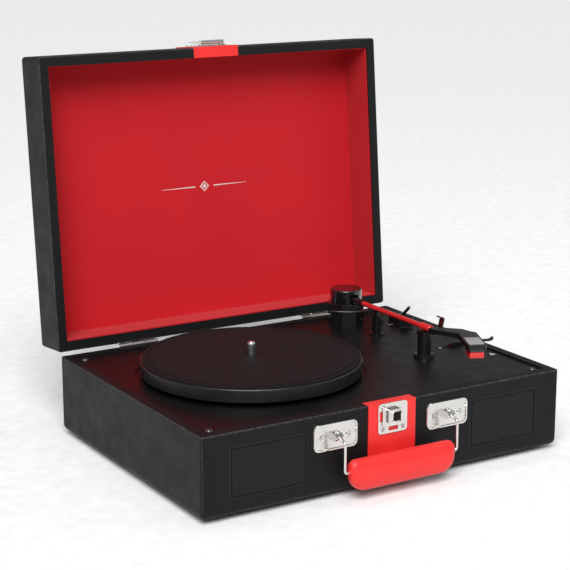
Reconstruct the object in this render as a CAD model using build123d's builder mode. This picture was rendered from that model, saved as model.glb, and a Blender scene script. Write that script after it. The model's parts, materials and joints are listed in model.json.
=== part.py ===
"""Suitcase record player with its lid open, all sizes in millimetres, +Z up.

The origin is on the surface that the feet stand on, in the middle of the whole open player:
X runs to the right, Y to the back. The case's own middle is CASE_Y from it.
"""
from build123d import *
from math import cos, radians, sin, sqrt
import os

os.makedirs("parts", exist_ok=True)

# ---------------------------------------------------------------- driving dimensions
# Case, of 9 mm board covered in leathercloth
CASE_W = 352.0
CASE_D = 262.0
BASE_H = 68.6
LID_H = 42.0
WALL = 9.0
PANEL = 4.0
CORNER_R = 3.0
BOTTOM_R = 6.0
RIM_R = 1.2
LINING = 1.0
CORNER_BLOCK = 26.0
STRAP_W = 46.4
STRAP_T = 0.9
FOOT_H = 4.0
FOOT_R = 9.0
FOOT_INSET = 26.0

# Lid hinge: how far its axis is behind the case and under the base's rim, and the open lid's lean
HINGE_BACK = 2.8
HINGE_DROP = 0.8
SEAM = 0.3
LEAN = radians(5.1)
HINGE_X = 98.0
HINGE_W = 40.0
LEAF_H = 15.0
LEAF_T = 1.0
BARREL_R = 2.5
HINGE_PIN_R = 1.2

# Handle
HANDLE_X = 55.2
HANDLE_Z = 53.5
HANDLE_OUT = 4.6
WIRE_R = 1.25
WIRE_OUT = 15.5
GRIP_W = 105.0
GRIP_H = 29.0
GRIP_T = 15.0
GRIP_TOP = 37.0
BRACKET_W = 41.8
BRACKET_H = 23.0
BRACKET_T = 1.2

# Deck and drive
DECK_DROP = 1.5
DECK_T = 3.0
PLATTER_R = 96.0
PLATTER_SKIRT = 11.0
PLATTER_T = 3.0
MAT_T = 1.3
MAT_GROOVE = 0.5
MAT_HOLE_R = 4.1
MAT_TOP = 86.7
SPINDLE_X = -54.0
SPINDLE_DY = 3.0
SPINDLE_R = 3.6
SPINDLE_PROUD = 13.0
SHAFT_R = 3.0
RING_R = 55.0
PULLEY_R = 6.0
MOTOR_X = -54.0 + 62.0
MOTOR_DY = 48.0
MOTOR_R = 16.0
BELT_T = 0.7
BELT_H = 4.0
RUN = 0.05  # radial clearance of a running fit

# Tonearm
PIVOT_X = 102.0
PIVOT_DY = 92.0
ARM_Z = 99.0
ARM_R = 2.4
CAP_R = 15.0
CAP_TOP = 108.0
CAP_BOTTOM = 95.6
ARM_REACH = 196.0
HEAD_ANGLE = radians(25.0)
REST_REACH = 127.0

# Socket panel on the back, in REAR's own X, which runs to the left
PANEL_X = -60.0
PANEL_Z = 34.0
WINDOW_W = 84.0
WINDOW_H = 26.0

# Speaker grilles
GRILLE_X = 116.0
GRILLE_Z = 39.0
GRILLE_W = 73.0
GRILLE_H = 45.0
GRILLE_T = 2.2
GRILLE_FRAME = 3.0
GRILLE_DISH = 0.8
SOUND_SLOTS = 12
SOUND_SLOT_W = 52.0
SOUND_SLOT_H = 1.1
SOUND_SLOT_STEP = 2.6
OPENING_X = GRILLE_X - 4.0
OPENING_W = 56.0
OPENING_H = 34.0

# ---------------------------------------------------------------- worked-out places
BASE_TOP = FOOT_H + BASE_H
DECK_TOP = BASE_TOP - DECK_DROP
DECK_UNDER = DECK_TOP - DECK_T
RIM_BACK = HINGE_BACK * sin(LEAN) + (HINGE_DROP + SEAM) * cos(LEAN)
RIM_UP = HINGE_BACK * cos(LEAN) - (HINGE_DROP + SEAM) * sin(LEAN)
FRONT_REACH = CASE_D / 2 + WIRE_OUT + GRIP_T / 2
BACK_REACH = CASE_D / 2 + HINGE_BACK + RIM_BACK + CASE_D * sin(LEAN) + LID_H * cos(LEAN)
CASE_Y = (FRONT_REACH - BACK_REACH) / 2
FRONT = CASE_Y - CASE_D / 2
BACK = CASE_Y + CASE_D / 2
HINGE_Y = BACK + HINGE_BACK
HINGE_Z = BASE_TOP - HINGE_DROP
SPINDLE_Y = CASE_Y + SPINDLE_DY
MOTOR_Y = CASE_Y + MOTOR_DY
PIVOT_Y = CASE_Y + PIVOT_DY
PLATTER_TOP = MAT_TOP - MAT_T

# The open lid's rim: X to the left, Y up the lid from its hinged edge, Z from the rim to the top panel
RIM = Plane(
    origin=(0, HINGE_Y + RIM_BACK, HINGE_Z + RIM_UP),
    x_dir=(-1, 0, 0),
    z_dir=(0, cos(LEAN), -sin(LEAN)),
)
FACE = Plane(origin=(0, FRONT, 0), x_dir=(1, 0, 0), z_dir=(0, -1, 0))
REAR = Plane(origin=(0, BACK, 0), x_dir=(-1, 0, 0), z_dir=(0, 1, 0))


def side(x):
    """A plane across the case at x, with Y to the back and Z up."""
    return Plane(origin=(x, 0, 0), x_dir=(0, 1, 0), z_dir=(1, 0, 0))


# ---------------------------------------------------------------- base
with BuildPart() as base_shell:
    with BuildSketch(Plane.XY.offset(FOOT_H)):
        with Locations((0, CASE_Y)):
            Rectangle(CASE_W, CASE_D)
    extrude(amount=BASE_H)
    fillet(base_shell.faces().sort_by(Axis.Z)[0].edges(), BOTTOM_R)
    fillet(base_shell.edges().filter_by(Axis.Z), CORNER_R)
    fillet(base_shell.faces().sort_by(Axis.Z)[-1].edges(), RIM_R)
    with BuildSketch(Plane.XY.offset(FOOT_H + PANEL)):
        with Locations((0, CASE_Y)):
            Rectangle(CASE_W - 2 * WALL, CASE_D - 2 * WALL)
    extrude(amount=BASE_H, mode=Mode.SUBTRACT)
    # corner blocks that carry the deck
    with BuildSketch(Plane.XY.offset(FOOT_H + PANEL)):
        with Locations((0, CASE_Y)):
            with GridLocations(
                CASE_W - 2 * WALL - CORNER_BLOCK, CASE_D - 2 * WALL - CORNER_BLOCK, 2, 2
            ):
                Rectangle(CORNER_BLOCK, CORNER_BLOCK)
    extrude(amount=DECK_UNDER - FOOT_H - PANEL)
    # speaker openings, each in a shallow recess for its grille
    with BuildSketch(FACE):
        with Locations((-GRILLE_X, GRILLE_Z), (GRILLE_X, GRILLE_Z)):
            Rectangle(GRILLE_W, GRILLE_H)
    extrude(amount=-GRILLE_T, mode=Mode.SUBTRACT)
    with BuildSketch(FACE):
        with Locations((-OPENING_X, GRILLE_Z), (OPENING_X, GRILLE_Z)):
            RectangleRounded(OPENING_W, OPENING_H, 10)
    extrude(amount=-WALL, mode=Mode.SUBTRACT)
    # shallow pocket that lets the strap lie flush over the rim
    with BuildSketch(Plane.XY.offset(BASE_TOP - STRAP_T)):
        with Locations((0, FRONT)):
            Rectangle(STRAP_W, 2 * WALL)
    extrude(amount=STRAP_T, mode=Mode.SUBTRACT)
    # window for the sockets in the back wall
    with BuildSketch(REAR):
        with Locations((PANEL_X, PANEL_Z)):
            RectangleRounded(WINDOW_W, WINDOW_H, 3)
    extrude(amount=-WALL, mode=Mode.SUBTRACT)
base_shell.part.label = "base_shell"
export_step(base_shell.part, "parts/base_shell.step")

STRAP_LOW = FOOT_H + BOTTOM_R
with BuildPart() as base_strap:
    with BuildSketch(side(0)):
        with BuildLine():
            Polyline(
                (FRONT, STRAP_LOW),
                (FRONT - STRAP_T, STRAP_LOW),
                (FRONT - STRAP_T, BASE_TOP),
                (FRONT + WALL, BASE_TOP),
                (FRONT + WALL, BASE_TOP - STRAP_T),
                (FRONT, BASE_TOP - STRAP_T),
                close=True,
            )
        make_face()
    extrude(amount=STRAP_W / 2, both=True)
    fillet(base_strap.edges().filter_by(Axis.X).group_by(Axis.Z)[-1].sort_by(Axis.Y)[0], 0.8)
base_strap.part.label = "base_strap"
export_step(base_strap.part, "parts/base_strap.step")

with BuildPart() as rubber_feet:
    with BuildSketch():
        with Locations((0, CASE_Y)):
            with GridLocations(CASE_W - 2 * FOOT_INSET, CASE_D - 2 * FOOT_INSET, 2, 2):
                Circle(FOOT_R)
    extrude(amount=FOOT_H)
    chamfer(rubber_feet.faces().sort_by(Axis.Z)[0:4].edges(), 0.8)
rubber_feet.part.label = "rubber_feet"
export_step(rubber_feet.part, "parts/rubber_feet.step")

with BuildPart() as speaker_grilles:
    with BuildSketch(FACE.offset(-GRILLE_T)):
        with Locations((-GRILLE_X, GRILLE_Z), (GRILLE_X, GRILLE_Z)):
            Rectangle(GRILLE_W - 0.4, GRILLE_H - 0.4)
    extrude(amount=GRILLE_T)
    with BuildSketch(FACE.offset(-GRILLE_DISH)):
        with Locations((-GRILLE_X, GRILLE_Z), (GRILLE_X, GRILLE_Z)):
            Rectangle(GRILLE_W - 2 * GRILLE_FRAME, GRILLE_H - 2 * GRILLE_FRAME)
    extrude(amount=GRILLE_DISH, mode=Mode.SUBTRACT)
    # slots for the sound
    with BuildSketch(FACE.offset(-GRILLE_T)):
        with Locations((-OPENING_X, GRILLE_Z), (OPENING_X, GRILLE_Z)):
            with GridLocations(0, SOUND_SLOT_STEP, 1, SOUND_SLOTS):
                Rectangle(SOUND_SLOT_W, SOUND_SLOT_H)
    extrude(amount=GRILLE_T, mode=Mode.SUBTRACT)
speaker_grilles.part.label = "speaker_grilles"
export_step(speaker_grilles.part, "parts/speaker_grilles.step")

# Two loudspeakers behind the front wall: frame, basket, magnet plate, magnet and dust cap
SPEAKER_R = 20.0
SPEAKER_SPOTS = [(-OPENING_X, GRILLE_Z - 2), (OPENING_X, GRILLE_Z - 2)]
SPEAKER_FACE = Plane(origin=(0, FRONT + WALL, 0), x_dir=(1, 0, 0), z_dir=(0, 1, 0))
SPEAKER_BACK = [(x, -z) for x, z in SPEAKER_SPOTS]
with BuildPart() as speakers:
    with BuildSketch(SPEAKER_FACE):
        with Locations(*SPEAKER_BACK):
            RectangleRounded(50, 50, 4)
            Circle(SPEAKER_R, mode=Mode.SUBTRACT)
    extrude(amount=2)
    with BuildSketch(SPEAKER_FACE.offset(2)):
        with Locations(*SPEAKER_BACK):
            Circle(SPEAKER_R + 2)
    extrude(amount=9, taper=30)
    with BuildSketch(SPEAKER_FACE.offset(2)):
        with Locations(*SPEAKER_BACK):
            Circle(SPEAKER_R)
    extrude(amount=7, taper=30, mode=Mode.SUBTRACT)
    with BuildSketch(SPEAKER_FACE.offset(11)):
        with Locations(*SPEAKER_BACK):
            Circle(SPEAKER_R)
    extrude(amount=2)
    with BuildSketch(SPEAKER_FACE.offset(13)):
        with Locations(*SPEAKER_BACK):
            Circle(15)
    extrude(amount=9)
    with BuildSketch(SPEAKER_FACE.offset(9)):
        with Locations(*SPEAKER_BACK):
            Circle(7)
    extrude(amount=-3, taper=35)
speakers.part.label = "speakers"
export_step(speakers.part, "parts/speakers.step")


# Screws: shank's length, head's radius, shank's radius
WOOD_SCREW = (7.0, 2.7, 1.4)
SMALL_SCREW = (7.0, 1.9, 1.0)
DECK_SCREW = (14.0, 3.4, 1.5)
MOTOR_SCREW = (5.5, 2.7, 1.4)
SCREW_HEAD_H = 1.1
SCREW_SLOT = 0.6


def board_screws(plane, spots, length, head_r, shank_r):
    """Cross-head wood screws: domed heads on a plane, shanks into the board behind it."""
    with BuildPart() as screws:
        with BuildSketch(plane):
            with Locations(*spots):
                Circle(shank_r)
        extrude(amount=-length)
        with BuildSketch(plane):
            with Locations(*spots):
                Circle(head_r)
        extrude(amount=SCREW_HEAD_H, taper=30)
        with BuildSketch(plane.offset(SCREW_HEAD_H - SCREW_SLOT)):
            with Locations(*spots):
                Rectangle(head_r * 1.1, SCREW_SLOT)
                Rectangle(SCREW_SLOT, head_r * 1.1)
        extrude(amount=SCREW_SLOT, mode=Mode.SUBTRACT)
    return screws.part


# ---------------------------------------------------------------- handle
BRACKET_SPOTS = [(-HANDLE_X, HANDLE_Z), (HANDLE_X, HANDLE_Z)]
BRACKET_SCREWS = [(x + dx, z) for x, z in BRACKET_SPOTS for dx in (-12.5, 12.5)]
BRACKET_RIM = 2.0
EAR_IN = 2.0
EAR_T = 1.6
EAR_R = 3.2
EYE_R = 2.7
EYE_T = 3.4
HANDLE_PIN_R = 1.25
BAIL_BEND = 2.6
with BuildPart() as handle_brackets:
    with BuildSketch(FACE):
        with Locations(*BRACKET_SPOTS):
            RectangleRounded(BRACKET_W, BRACKET_H, 5)
        with Locations(*BRACKET_SCREWS):
            Circle(1.6, mode=Mode.SUBTRACT)
    extrude(amount=BRACKET_T)
    with BuildSketch(FACE.offset(BRACKET_T)):
        with Locations(*BRACKET_SPOTS):
            RectangleRounded(BRACKET_W, BRACKET_H, 5)
            RectangleRounded(
                BRACKET_W - 2 * BRACKET_RIM, BRACKET_H - 2 * BRACKET_RIM, 3.4, mode=Mode.SUBTRACT
            )
    extrude(amount=0.9, taper=25)
    # two ears on each plate, with the pin that the wire's eye turns on
    for x, z in BRACKET_SPOTS:
        for edge in (x - EAR_IN - EAR_T, x + EAR_IN):
            with BuildSketch(side(edge)):
                with Locations((FRONT - HANDLE_OUT, z)):
                    Circle(EAR_R)
                with Locations((FRONT - HANDLE_OUT / 2, z)):
                    Rectangle(HANDLE_OUT, 2 * EAR_R)
            extrude(amount=EAR_T)
        with BuildSketch(side(x - EAR_IN)):
            with Locations((FRONT - HANDLE_OUT, z)):
                Circle(HANDLE_PIN_R)
        extrude(amount=2 * EAR_IN)
handle_brackets.part.label = "handle_brackets"
export_step(handle_brackets.part, "parts/handle_brackets.step")

# One wire: out of the left eye, down, through the grip, up and into the right eye
PIN_Y = FRONT - HANDLE_OUT
WIRE_Y = FRONT - WIRE_OUT
WIRE_Z = GRIP_TOP - 11.0
with BuildPart() as handle_bail:
    with BuildLine() as bail_line:
        FilletPolyline(
            (-HANDLE_X, PIN_Y - 2.0, HANDLE_Z),
            (-HANDLE_X, WIRE_Y, HANDLE_Z - 2.0),
            (-HANDLE_X, WIRE_Y, WIRE_Z),
            (HANDLE_X, WIRE_Y, WIRE_Z),
            (HANDLE_X, WIRE_Y, HANDLE_Z - 2.0),
            (HANDLE_X, PIN_Y - 2.0, HANDLE_Z),
            radius=BAIL_BEND,
        )
    with BuildSketch(Plane(origin=bail_line.line @ 0, z_dir=bail_line.line % 0)):
        Circle(WIRE_R)
    sweep(path=bail_line.line)
    for x in (-HANDLE_X, HANDLE_X):
        with BuildSketch(side(x - EYE_T / 2)):
            with Locations((PIN_Y, HANDLE_Z)):
                Circle(EYE_R)
        extrude(amount=EYE_T)
        with BuildSketch(side(x - EYE_T / 2)):
            with Locations((PIN_Y, HANDLE_Z)):
                Circle(HANDLE_PIN_R + RUN)
        extrude(amount=EYE_T, mode=Mode.SUBTRACT)
handle_bail.part.label = "handle_bail"
export_step(handle_bail.part, "parts/handle_bail.step")

with BuildPart() as handle_grip:
    with BuildSketch(Plane(origin=(0, WIRE_Y, 0), x_dir=(1, 0, 0), z_dir=(0, -1, 0))):
        with Locations((0, GRIP_TOP - GRIP_H / 2)):
            Rectangle(GRIP_W, GRIP_H)
    extrude(amount=GRIP_T / 2, both=True)
    fillet(handle_grip.edges().filter_by(Axis.Y).group_by(Axis.Z)[0], 14)
    fillet(handle_grip.edges().filter_by(Axis.Y).group_by(Axis.Z)[-1], 4)
    fillet(handle_grip.faces().sort_by(Axis.Y)[0].edges(), 5)
    fillet(handle_grip.faces().sort_by(Axis.Y)[-1].edges(), 5)
    with BuildSketch(side(-GRIP_W / 2)):
        with Locations((WIRE_Y, WIRE_Z)):
            Circle(WIRE_R)
    extrude(amount=GRIP_W, mode=Mode.SUBTRACT)
handle_grip.part.label = "handle_grip"
export_step(handle_grip.part, "parts/handle_grip.step")

# ---------------------------------------------------------------- catch on the base
CATCH_Z = 59.8
CATCH_W = 28.5
CATCH_H = 25.5
CATCH_T = 1.0
KEEPER_W = 13.0
KEEPER_H = 12.0
KEEPER_OUT = 4.4
BUTTON_X = -9.0
BUTTON_TRAVEL = 2.5
STRAP_SLOT = (9.5, 3.5)
STRAP_FACE = FACE.offset(STRAP_T)
CATCH_SCREWS = [(-9.5, CATCH_Z - 9), (10.5, CATCH_Z - 9)]
with BuildPart() as catch_plate:
    with BuildSketch(STRAP_FACE):
        with Locations((0, CATCH_Z)):
            RectangleRounded(CATCH_W, CATCH_H, 3)
        with Locations((BUTTON_X - BUTTON_TRAVEL / 2, CATCH_Z + 2)):
            Rectangle(2.0 + BUTTON_TRAVEL + 0.6, 8.6, mode=Mode.SUBTRACT)
        with Locations((0.5, CATCH_Z - 9)):
            Rectangle(*STRAP_SLOT, mode=Mode.SUBTRACT)
        with Locations(*CATCH_SCREWS):
            Circle(1.1, mode=Mode.SUBTRACT)
    extrude(amount=CATCH_T)
    # keeper: a raised box, open below, that the hasp drops over
    with BuildSketch(STRAP_FACE.offset(CATCH_T)):
        with Locations((0, CATCH_Z + 2)):
            RectangleRounded(KEEPER_W, KEEPER_H, 1.5)
    extrude(amount=KEEPER_OUT)
    with BuildSketch(STRAP_FACE.offset(CATCH_T)):
        with Locations((0, CATCH_Z + 0.5)):
            Rectangle(KEEPER_W - 3, KEEPER_H)
    extrude(amount=KEEPER_OUT - 1.2, mode=Mode.SUBTRACT)
catch_plate.part.label = "catch_plate"
export_step(catch_plate.part, "parts/catch_plate.step")

with BuildPart() as catch_button:
    with BuildSketch(STRAP_FACE.offset(0.15)):
        with Locations((BUTTON_X, CATCH_Z + 2)):
            Rectangle(2.0, 8.0)
    extrude(amount=CATCH_T + 0.15)
    with BuildSketch(STRAP_FACE.offset(CATCH_T + 0.3)):
        with Locations((BUTTON_X, CATCH_Z + 2)):
            RectangleRounded(3.6, 17.0, 1)
    extrude(amount=1.2)
    fillet(catch_button.faces().sort_by(Axis.Y)[0].edges(), 0.4)
catch_button.part.label = "catch_button"
export_step(catch_button.part, "parts/catch_button.step")

catch_screws = board_screws(STRAP_FACE.offset(CATCH_T), CATCH_SCREWS, *SMALL_SCREW)
catch_screws.label = "catch_screws"
export_step(catch_screws, "parts/catch_screws.step")

# ---------------------------------------------------------------- deck
DECK_SCREWS = [(x, CASE_Y + y) for x in (-160, 160) for y in (-114, 114)]
MOTOR_SCREWS = [(MOTOR_X + dx, MOTOR_Y) for dx in (-21, 21)]
SPEED_X = 138.0
SPEED_Y = CASE_Y + 46.0
SPEED_TRAVEL = 9.0
STOP_X = 133.0
STOP_Y = CASE_Y + 81.0
STOP_TRAVEL = 5.0
VOLUME_X = 148.0
VOLUME_Y = CASE_Y - 20.0
VOLUME_R = 12.0
VOLUME_T = 4.0
VOLUME_Z = DECK_TOP + 4.0 - VOLUME_R
LIFTER_R = 42.0
LIFTER_ANGLE = radians(10.0)
LIFTER_STEM = (PIVOT_X + LIFTER_R * sin(LIFTER_ANGLE), PIVOT_Y - LIFTER_R * cos(LIFTER_ANGLE))
RECESS = 1.0
with BuildPart() as deck_plate:
    with BuildSketch(Plane.XY.offset(DECK_UNDER)):
        with Locations((0, CASE_Y)):
            RectangleRounded(CASE_W - 2 * WALL - 0.6, CASE_D - 2 * WALL - 0.6, 2)
        with Locations((SPINDLE_X, SPINDLE_Y)):
            Circle(6.0, mode=Mode.SUBTRACT)
        with Locations((MOTOR_X, MOTOR_Y)):
            Circle(8.0, mode=Mode.SUBTRACT)
        with Locations(*MOTOR_SCREWS):
            Circle(1.6, mode=Mode.SUBTRACT)
        with Locations((PIVOT_X, PIVOT_Y)):
            Circle(9.0, mode=Mode.SUBTRACT)
        with Locations(LIFTER_STEM):
            Circle(3.0, mode=Mode.SUBTRACT)
        with Locations((SPEED_X + SPEED_TRAVEL / 2, SPEED_Y)):
            SlotOverall(SPEED_TRAVEL + 4.2, 3.0, mode=Mode.SUBTRACT)
        with Locations((STOP_X + STOP_TRAVEL / 2, STOP_Y)):
            SlotOverall(STOP_TRAVEL + 4.2, 3.0, mode=Mode.SUBTRACT)
        with Locations((VOLUME_X, VOLUME_Y)):
            Rectangle(2 * VOLUME_R, VOLUME_T + 1.2, mode=Mode.SUBTRACT)
        with Locations(*DECK_SCREWS):
            Circle(1.8, mode=Mode.SUBTRACT)
    extrude(amount=DECK_T)
    with BuildSketch(Plane.XY.offset(DECK_TOP - RECESS)):
        with Locations((SPINDLE_X, SPINDLE_Y)):
            Circle(PLATTER_R + 4)
    extrude(amount=RECESS, mode=Mode.SUBTRACT)
deck_plate.part.label = "deck_plate"
export_step(deck_plate.part, "parts/deck_plate.step")

deck_screws = board_screws(Plane.XY.offset(DECK_TOP), DECK_SCREWS, *DECK_SCREW)
deck_screws.label = "deck_screws"
export_step(deck_screws, "parts/deck_screws.step")

# ---------------------------------------------------------------- platter and its drive
RECESS_TOP = DECK_TOP - RECESS
BUSH_LOW = DECK_TOP - 24.0
BEARING = Plane(origin=(SPINDLE_X, SPINDLE_Y, 0))
with BuildPart() as platter_bearing:
    with BuildSketch(BEARING.offset(BUSH_LOW)):
        Circle(6.0)
    extrude(amount=RECESS_TOP - BUSH_LOW)
    with BuildSketch(BEARING.offset(RECESS_TOP)):
        Circle(11)
    extrude(amount=1.5)
    with BuildSketch(BEARING.offset(BUSH_LOW + 1.5)):
        Circle(SHAFT_R + RUN)
    extrude(amount=RECESS_TOP - BUSH_LOW, mode=Mode.SUBTRACT)
platter_bearing.part.label = "platter_bearing"
export_step(platter_bearing.part, "parts/platter_bearing.step")

with BuildPart() as spindle:
    with BuildSketch(BEARING.offset(BUSH_LOW + 1.8)):
        Circle(SHAFT_R)
    extrude(amount=MAT_TOP - BUSH_LOW - 1.8)
    with BuildSketch(BEARING.offset(MAT_TOP)):
        Circle(SPINDLE_R)
    extrude(amount=SPINDLE_PROUD)
    fillet(spindle.faces().sort_by(Axis.Z)[-1].edges(), 2.6)
spindle.part.label = "spindle"
export_step(spindle.part, "parts/spindle.step")

HUB_R = 10.0
HUB_LOW = RECESS_TOP + 2.0
RING_W = 2.5
RIBS = 6
RING_LOW = PLATTER_TOP - 10.0
with BuildPart() as platter:
    with BuildSketch(BEARING.offset(PLATTER_TOP - PLATTER_T)):
        Circle(PLATTER_R)
    extrude(amount=PLATTER_T)
    with BuildSketch(BEARING.offset(PLATTER_TOP - PLATTER_SKIRT)):
        Circle(PLATTER_R)
        Circle(PLATTER_R - RING_W, mode=Mode.SUBTRACT)
    extrude(amount=PLATTER_SKIRT - PLATTER_T)
    with BuildSketch(BEARING.offset(RING_LOW)):
        Circle(RING_R)
        Circle(RING_R - RING_W, mode=Mode.SUBTRACT)
    extrude(amount=PLATTER_TOP - PLATTER_T - RING_LOW)
    with BuildSketch(BEARING.offset(HUB_LOW)):
        Circle(HUB_R)
    extrude(amount=PLATTER_TOP - PLATTER_T - HUB_LOW)
    # ribs from the hub to the drive ring
    with BuildSketch(BEARING.offset(PLATTER_TOP - PLATTER_T - 4)):
        with PolarLocations((HUB_R + RING_R - RING_W) / 2, RIBS):
            Rectangle(RING_R - RING_W - HUB_R + 1, 2)
    extrude(amount=4)
    with BuildSketch(BEARING.offset(HUB_LOW)):
        Circle(SHAFT_R)
    extrude(amount=PLATTER_TOP - HUB_LOW, mode=Mode.SUBTRACT)
    fillet(platter.faces().sort_by(Axis.Z)[-1].edges().sort_by(SortBy.LENGTH)[-1], 1.2)
platter.part.label = "platter"
export_step(platter.part, "parts/platter.step")

with BuildPart() as platter_mat:
    with BuildSketch(BEARING.offset(PLATTER_TOP)):
        Circle(PLATTER_R - 2)
        Circle(MAT_HOLE_R, mode=Mode.SUBTRACT)
    extrude(amount=MAT_T)
    # raised rings that carry the record
    with BuildSketch(BEARING.offset(MAT_TOP - MAT_GROOVE)):
        for r in range(16, int(PLATTER_R) - 6, 8):
            Circle(r + 2.6)
            Circle(r, mode=Mode.SUBTRACT)
    extrude(amount=MAT_GROOVE, mode=Mode.SUBTRACT)
platter_mat.part.label = "platter_mat"
export_step(platter_mat.part, "parts/platter_mat.step")

MOTOR_AXIS = Plane(origin=(MOTOR_X, MOTOR_Y, 0))
MOTOR_SHAFT_R = 1.5
MOTOR_H = 20.0
BELT_LOW = RING_LOW + 2.0
with BuildPart() as motor:
    with BuildSketch(MOTOR_AXIS.offset(DECK_UNDER)):
        RectangleRounded(52, 16, 5)
        with GridLocations(42, 0, 2, 1):
            Circle(1.4, mode=Mode.SUBTRACT)
    extrude(amount=-1.6)
    with BuildSketch(MOTOR_AXIS.offset(DECK_UNDER)):
        Circle(MOTOR_R)
    extrude(amount=-MOTOR_H)
    fillet(motor.faces().sort_by(Axis.Z)[0].edges(), 2)
    with BuildSketch(MOTOR_AXIS.offset(DECK_UNDER)):
        Circle(MOTOR_SHAFT_R + RUN)
    extrude(amount=-12, mode=Mode.SUBTRACT)
motor.part.label = "motor"
export_step(motor.part, "parts/motor.step")

motor_screws = board_screws(Plane.XY.offset(RECESS_TOP), MOTOR_SCREWS, *MOTOR_SCREW)
motor_screws.label = "motor_screws"
export_step(motor_screws, "parts/motor_screws.step")

with BuildPart() as motor_pulley:
    with BuildSketch(MOTOR_AXIS.offset(DECK_UNDER - 11.5)):
        Circle(MOTOR_SHAFT_R)
    extrude(amount=11.5 + BELT_LOW + BELT_H + 0.8 - DECK_UNDER)
    with BuildSketch(MOTOR_AXIS.offset(BELT_LOW - 1.2)):
        Circle(PULLEY_R + 1.2)
    extrude(amount=0.9)
    with BuildSketch(MOTOR_AXIS.offset(BELT_LOW - 0.3)):
        Circle(PULLEY_R)
    extrude(amount=BELT_H + 0.6)
motor_pulley.part.label = "motor_pulley"
export_step(motor_pulley.part, "parts/motor_pulley.step")

BELT_DX = MOTOR_X - SPINDLE_X
BELT_DY = MOTOR_Y - SPINDLE_Y
BELT_RUN = sqrt(BELT_DX**2 + BELT_DY**2)


def belt_outline(gap):
    """The closed line round the drive ring and the pulley, gap outside both."""
    lean = (RING_R - PULLEY_R) / BELT_RUN
    rise = sqrt(1 - lean**2)
    ring = RING_R + gap
    pulley = PULLEY_R + gap
    ring_x = ring * lean
    pulley_x = BELT_RUN + pulley * lean
    with BuildLine() as outline:
        RadiusArc((ring_x, -ring * rise), (ring_x, ring * rise), -ring, short_sagitta=False)
        Line((ring_x, ring * rise), (pulley_x, pulley * rise))
        RadiusArc((pulley_x, pulley * rise), (pulley_x, -pulley * rise), pulley)
        Line((pulley_x, -pulley * rise), (ring_x, -ring * rise))
    return outline.line


BELT_PLANE = Plane(
    origin=(SPINDLE_X, SPINDLE_Y, BELT_LOW),
    x_dir=(BELT_DX, BELT_DY, 0),
    z_dir=(0, 0, 1),
)
with BuildPart() as drive_belt:
    with BuildSketch(BELT_PLANE):
        make_face(belt_outline(RUN + BELT_T).edges())
        make_face(belt_outline(RUN).edges(), mode=Mode.SUBTRACT)
    extrude(amount=BELT_H)
drive_belt.part.label = "drive_belt"
export_step(drive_belt.part, "parts/drive_belt.step")

# ---------------------------------------------------------------- tonearm
PIVOT = Plane(origin=(PIVOT_X, PIVOT_Y, 0), x_dir=(1, 0, 0), z_dir=(0, 0, 1))
BASE_ACROSS = 32.0
SHAFT_LOW = DECK_UNDER - 12.0
with BuildPart() as tonearm_base:
    with BuildSketch(PIVOT.offset(DECK_TOP)):
        RegularPolygon(BASE_ACROSS / 2, 8, major_radius=False)
    extrude(amount=CAP_BOTTOM - 0.3 - DECK_TOP)
    chamfer(tonearm_base.faces().sort_by(Axis.Z)[-1].edges(), 0.6)
    with BuildSketch(PIVOT.offset(DECK_TOP)):
        Circle(8.9)
    extrude(amount=-DECK_T - 10)
    with BuildSketch(PIVOT.offset(SHAFT_LOW - 5)):
        Circle(SHAFT_R + RUN)
    extrude(amount=60, mode=Mode.SUBTRACT)
tonearm_base.part.label = "tonearm_base"
export_step(tonearm_base.part, "parts/tonearm_base.step")

CAP_WALL = 1.6
YOKE_FLOOR = 1.0
EAR_X = 6.6
EAR_W = 2.0
AXLE_R = 1.0
ARM_SLOT = (9.0, 12.0)
with BuildPart() as arm_yoke:
    with BuildSketch(PIVOT.offset(SHAFT_LOW)):
        Circle(SHAFT_R)
    extrude(amount=CAP_BOTTOM - SHAFT_LOW)
    with BuildSketch(PIVOT.offset(CAP_BOTTOM)):
        Circle(CAP_R - CAP_WALL)
    extrude(amount=YOKE_FLOOR)
    with BuildSketch(PIVOT.offset(CAP_BOTTOM + YOKE_FLOOR)):
        with GridLocations(2 * EAR_X + EAR_W, 0, 2, 1):
            Rectangle(EAR_W, 10)
    extrude(amount=CAP_TOP - 2 - CAP_BOTTOM - YOKE_FLOOR)
    with BuildSketch(side(PIVOT_X - EAR_X - EAR_W)):
        with Locations((PIVOT_Y, ARM_Z)):
            Circle(AXLE_R)
    extrude(amount=2 * (EAR_X + EAR_W), mode=Mode.SUBTRACT)
    with BuildSketch(PIVOT.offset(CAP_BOTTOM)):
        with Locations((0, -CAP_R)):
            Rectangle(*ARM_SLOT)
    extrude(amount=YOKE_FLOOR, mode=Mode.SUBTRACT)
arm_yoke.part.label = "arm_yoke"
export_step(arm_yoke.part, "parts/arm_yoke.step")

with BuildPart() as yoke_axle:
    with BuildSketch(side(PIVOT_X - EAR_X - EAR_W)):
        with Locations((PIVOT_Y, ARM_Z)):
            Circle(AXLE_R)
    extrude(amount=2 * (EAR_X + EAR_W))
yoke_axle.part.label = "yoke_axle"
export_step(yoke_axle.part, "parts/yoke_axle.step")

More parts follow.
